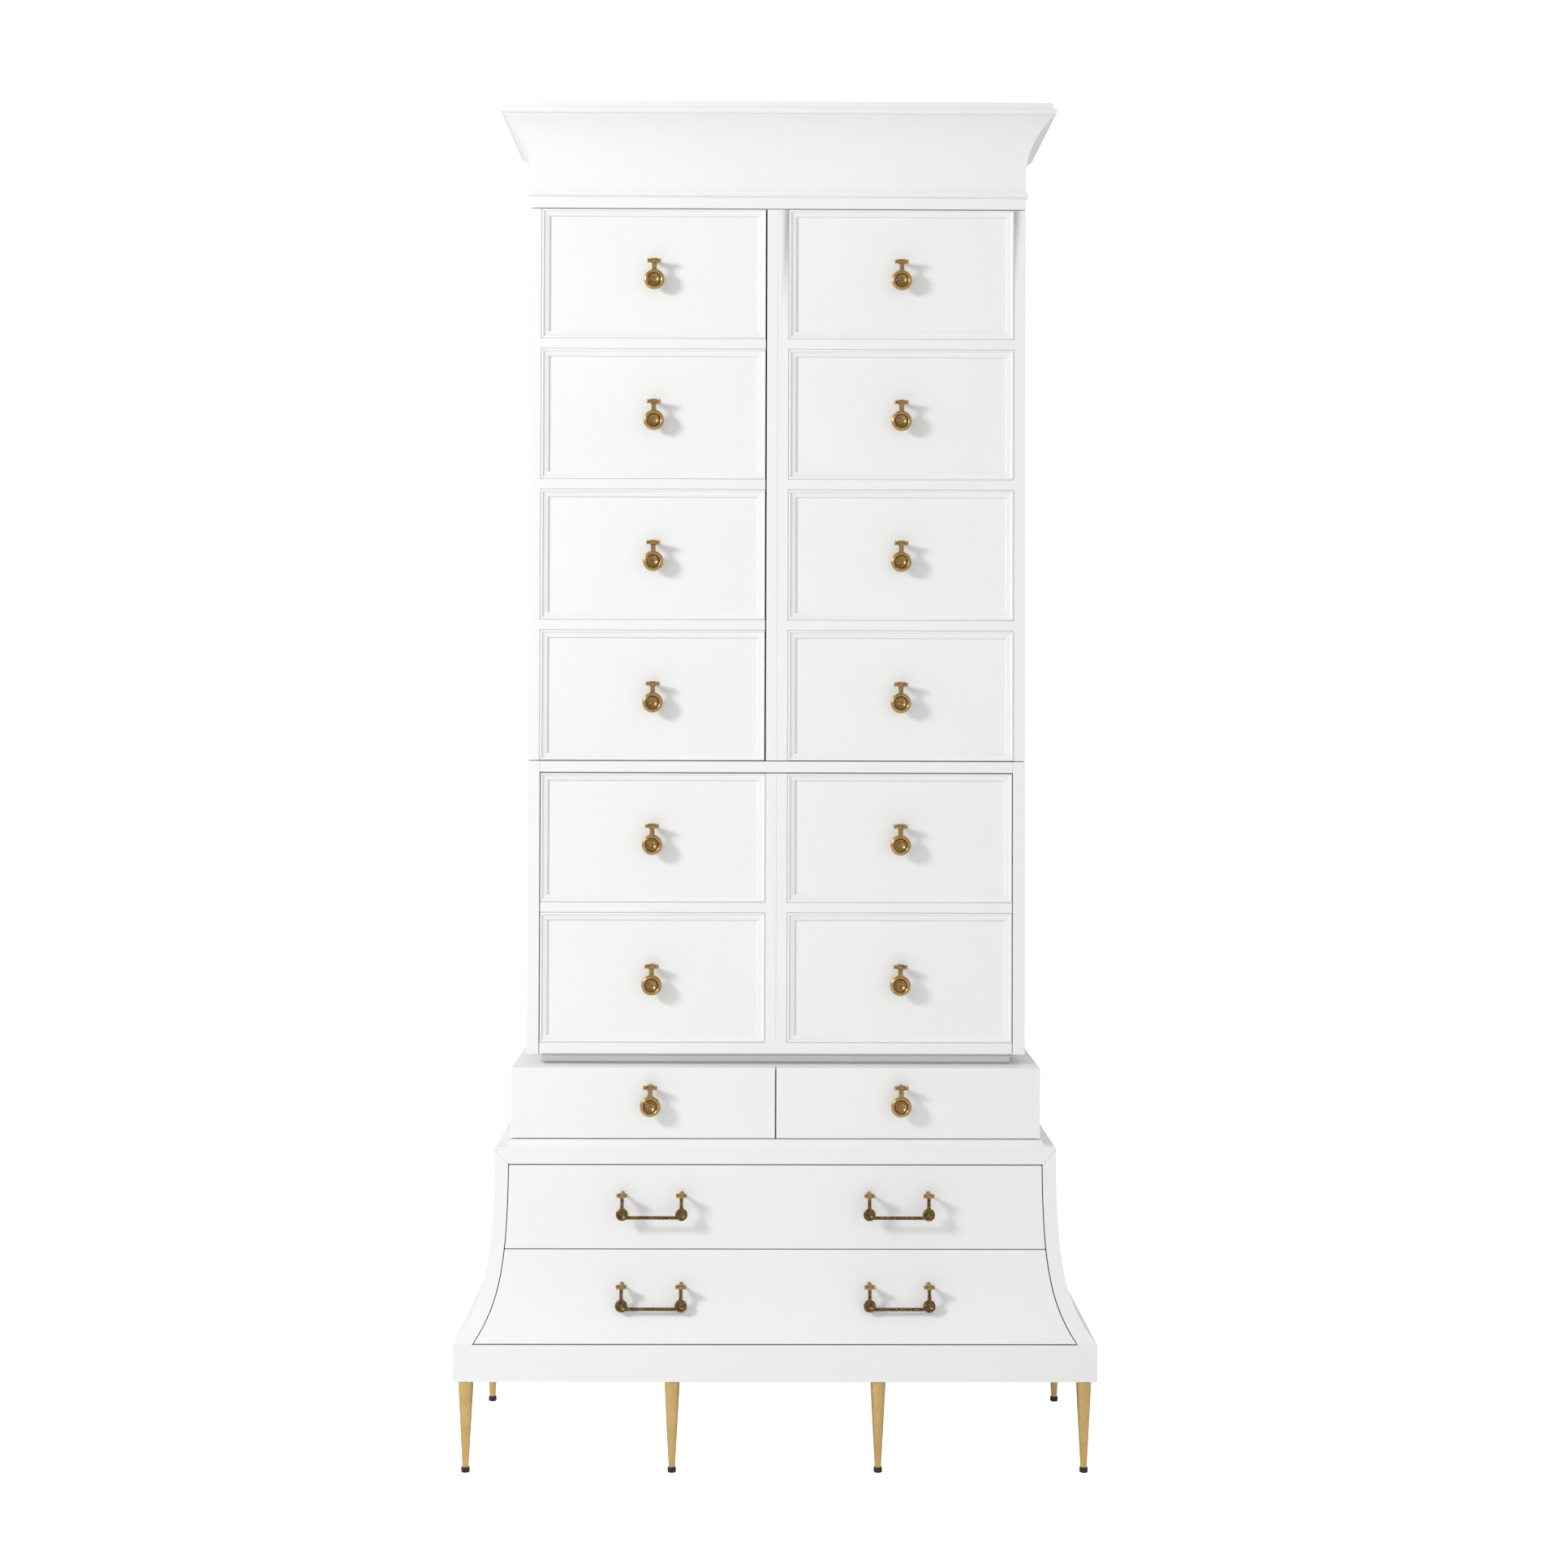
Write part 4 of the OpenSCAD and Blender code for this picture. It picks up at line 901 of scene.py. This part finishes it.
def strap(width, thick, z0, z1, x=0.0):
    """The flat neck between the barrel and the disc, with rounded edges and a slight waist."""
    rings = []
    steps = 8
    for i in range(steps + 1):
        t = i / steps
        z = z0 + (z1 - z0) * t
        half = width / 2 - 0.5 * math.sin(math.pi * t)
        half_t = thick / 2
        rings.append([(x - half, -half_t * 0.5, z), (x - half * 0.86, -half_t, z),
                      (x + half * 0.86, -half_t, z), (x + half, -half_t * 0.5, z),
                      (x + half, half_t * 0.5, z), (x + half * 0.86, half_t, z),
                      (x - half * 0.86, half_t, z), (x - half, half_t * 0.5, z)])
    return skin_rings(rings)


def drop_patina(point):
    """Brown in the dish and in the groove round it, rubbed bright on the rim."""
    radius = math.hypot(point.x, point.z + drop)
    if point.y > 1.0 or radius > disc_r + 0.5:
        return 0.2
    return 0.35 if radius < 8.6 or 10.6 < radius < 11.6 else 0.08


drop_parts = [barrel(neck_w, eye_r), strap(neck_w - 1, 4.2, -3.6, -drop + disc_r - 1.5),
              turned(disc_profile, "Y", (0, 0, -drop), around=64)]
pins = {j["child"]: tuple(c / MM for c in j["pos_m"]) for j in frame["joints"] if j["type"] == "hinge"}
drop_made = pattern("drop_pattern", drop_parts, antique_brass, patina=drop_patina)
drops = [f"door_pull_{side}_{row}" for side in ("left", "right") for row in range(1, door_rows + 1)]
drops += [f"fall_front_pull_{side}_{row}" for side in ("left", "right") for row in range(1, flap_rows + 1)]
drops += ["small_drawer_pull_left", "small_drawer_pull_right"]
for name in drops:
    set_pieces(name + "_drop", drop_made, [pins[name]], antique_brass, name, [name])
clear_pattern(drop_made)



def head_patina(point):
    """Brown on the stem behind the yoke, rubbed bright in front."""
    return 0.45 if point.y > 9 else 0.1


drop_stand = 20.0
head_made = pattern("head_pattern", pull_head(neck_w, pull_bar, drop_stand, 0.0), antique_brass,
                    patina=head_patina)


# ---------------------------------------------------------------- hinge and pivot plates
# Pressed brass plates let into the leaves' ends, each with a bush for the case's pivot pin.
plate_brass = brushed_brass("brushed_brass_plate", "X")


def bush(axis, centre, length, bore=2.05, outer=4.2):
    """A ring for a pivot pin."""
    ring = [(0, bore), (0, outer), (length, outer), (length, bore), (0, bore)]
    return turned(ring, axis, centre, around=32)


pivot_x, pivot_y = pins["right_door"][0], pins["right_door"][1]
plate_t = 3.0
plate_near, plate_reach = 2.6, 26
for side, sign in (("left", -1), ("right", 1)):
    low, high = node_mm(f"{side}_door")
    parts = []
    for z in (low.z, high.z - plate_t):
        parts.append(bush("Z", (sign * pivot_x, pivot_y, z), plate_t, outer=2.9))
        x0, x1 = sorted((sign * (pivot_x - plate_near), sign * (pivot_x - plate_reach)))
        parts.append(board((x0, pivot_y - 4, z), (x1, pivot_y + 3, z + plate_t)))
    make_piece(f"{side}_door_pivot_plates", parts, plate_brass, f"{side}_door")
    places = [pins[f"door_pull_{side}_{row}"] for row in range(1, door_rows + 1)]
    set_pieces(f"{side}_door_pull_heads", head_made, places, antique_brass, f"{side}_door",
               [f"{side}_door_fittings"])
    set_pieces(f"small_{side}_drawer_pull_head", head_made, [pins[f"small_drawer_pull_{side}"]],
               antique_brass, f"small_{side}_drawer", [f"small_{side}_post"])
low, high = node_mm("fall_front")
flap_pin_y, flap_pin_z = pins["fall_front"][1:]
parts = []
for x0, sign in ((low.x, 1), (high.x, -1)):
    parts.append(bush("X", (min(x0, x0 + sign * plate_t), flap_pin_y, flap_pin_z), plate_t))
    xs = sorted((x0, x0 + sign * plate_t))
    parts.append(board((xs[0], flap_pin_y - 5, flap_pin_z + 4), (xs[1], flap_pin_y + 5, flap_pin_z + 17)))
make_piece("fall_front_pivot_plates", parts, plate_brass, "fall_front")
places = [pins[f"fall_front_pull_{side}_{row}"] for side in ("left", "right") for row in (1, 2)]
set_pieces("fall_front_pull_heads", head_made, places, antique_brass, "fall_front",
           ["fall_front_fittings"])
clear_pattern(head_made)
frame["nodes"]["case_fittings"].data.materials.clear()
frame["nodes"]["case_fittings"].data.materials.append(plate_brass)


# ---------------------------------------------------------------- bail pulls
# Cast brass bails in the same finish: two eyes and arms end in small dished bosses that a round
# grip bar joins. Each hangs from two beaded heads whose stems are cut to the drawer's sweep.
arm_w = 7.4
bail_bar = 19.9
bail_w = 104.0
bail_drop = 33.0
boss_r = 10.75
grip_r = 3.0
grip_sink = boss_r * 2 * 0.26
bail_stand = 25.0
boss_profile = [(3.5, 0), (3.5, 9.6), (2.9, 10.4), (2.0, boss_r), (-1.8, boss_r), (-2.8, 10.3),
                (-3.4, 9.4), (-3.5, 8.4), (-3.4, 7.2), (-3.0, 6.2), (-2.3, 5.5), (-1.4, 4.9),
                (-0.8, 3.6), (-0.5, 1.8),
                (-0.4, 0)]


def bail_patina(point):
    """Rubbed bright on the eyes, dark brown on the arms, the bosses and the grip."""
    radius = math.hypot(abs(point.x) - bail_w / 2, point.z + bail_drop)
    if point.z > -eye_r - 1:
        return 0.1
    return 0.6 if 2.5 < radius < 5.6 and point.y < 0.5 else 0.65


bail_parts = []
grip_end = bail_w / 2 - math.sqrt((boss_r - 0.6) ** 2 - (grip_sink + grip_r) ** 2)
grip = [(-grip_end, 0), (-grip_end, grip_r), (0, grip_r), (grip_end, grip_r), (grip_end, 0)]
bail_parts.append(turned(grip, "X", (0, 0, -bail_drop - grip_sink), around=32))
for x in (-bail_w / 2, bail_w / 2):
    bail_parts.append(barrel(arm_w, eye_r, x))
    bail_parts.append(strap(arm_w - 0.6, 4.4, -3.6, -bail_drop + boss_r - 1.2, x))
    bail_parts.append(turned(boss_profile, "Y", (x, 0, -bail_drop), around=48))
bail_made = pattern("bail_pattern", bail_parts, antique_brass, patina=bail_patina)
post_made = pattern("post_pattern", pull_head(arm_w, bail_bar, bail_stand, 3.2), antique_brass,
                    patina=head_patina)
for tier in ("upper", "lower"):
    places = []
    for side in ("left", "right"):
        name = f"{tier}_bail_{side}"
        x, y, z = pins[name]
        set_pieces(name + "_handle", bail_made, [pins[name]], antique_brass, name, [name])
        places += [(x - bail_w / 2, y, z), (x + bail_w / 2, y, z)]
    set_pieces(f"{tier}_bail_posts", post_made, places, antique_brass, f"{tier}_wide_drawer",
               [f"{tier}_wide_posts"])
clear_pattern(bail_made)
clear_pattern(post_made)


low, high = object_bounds()
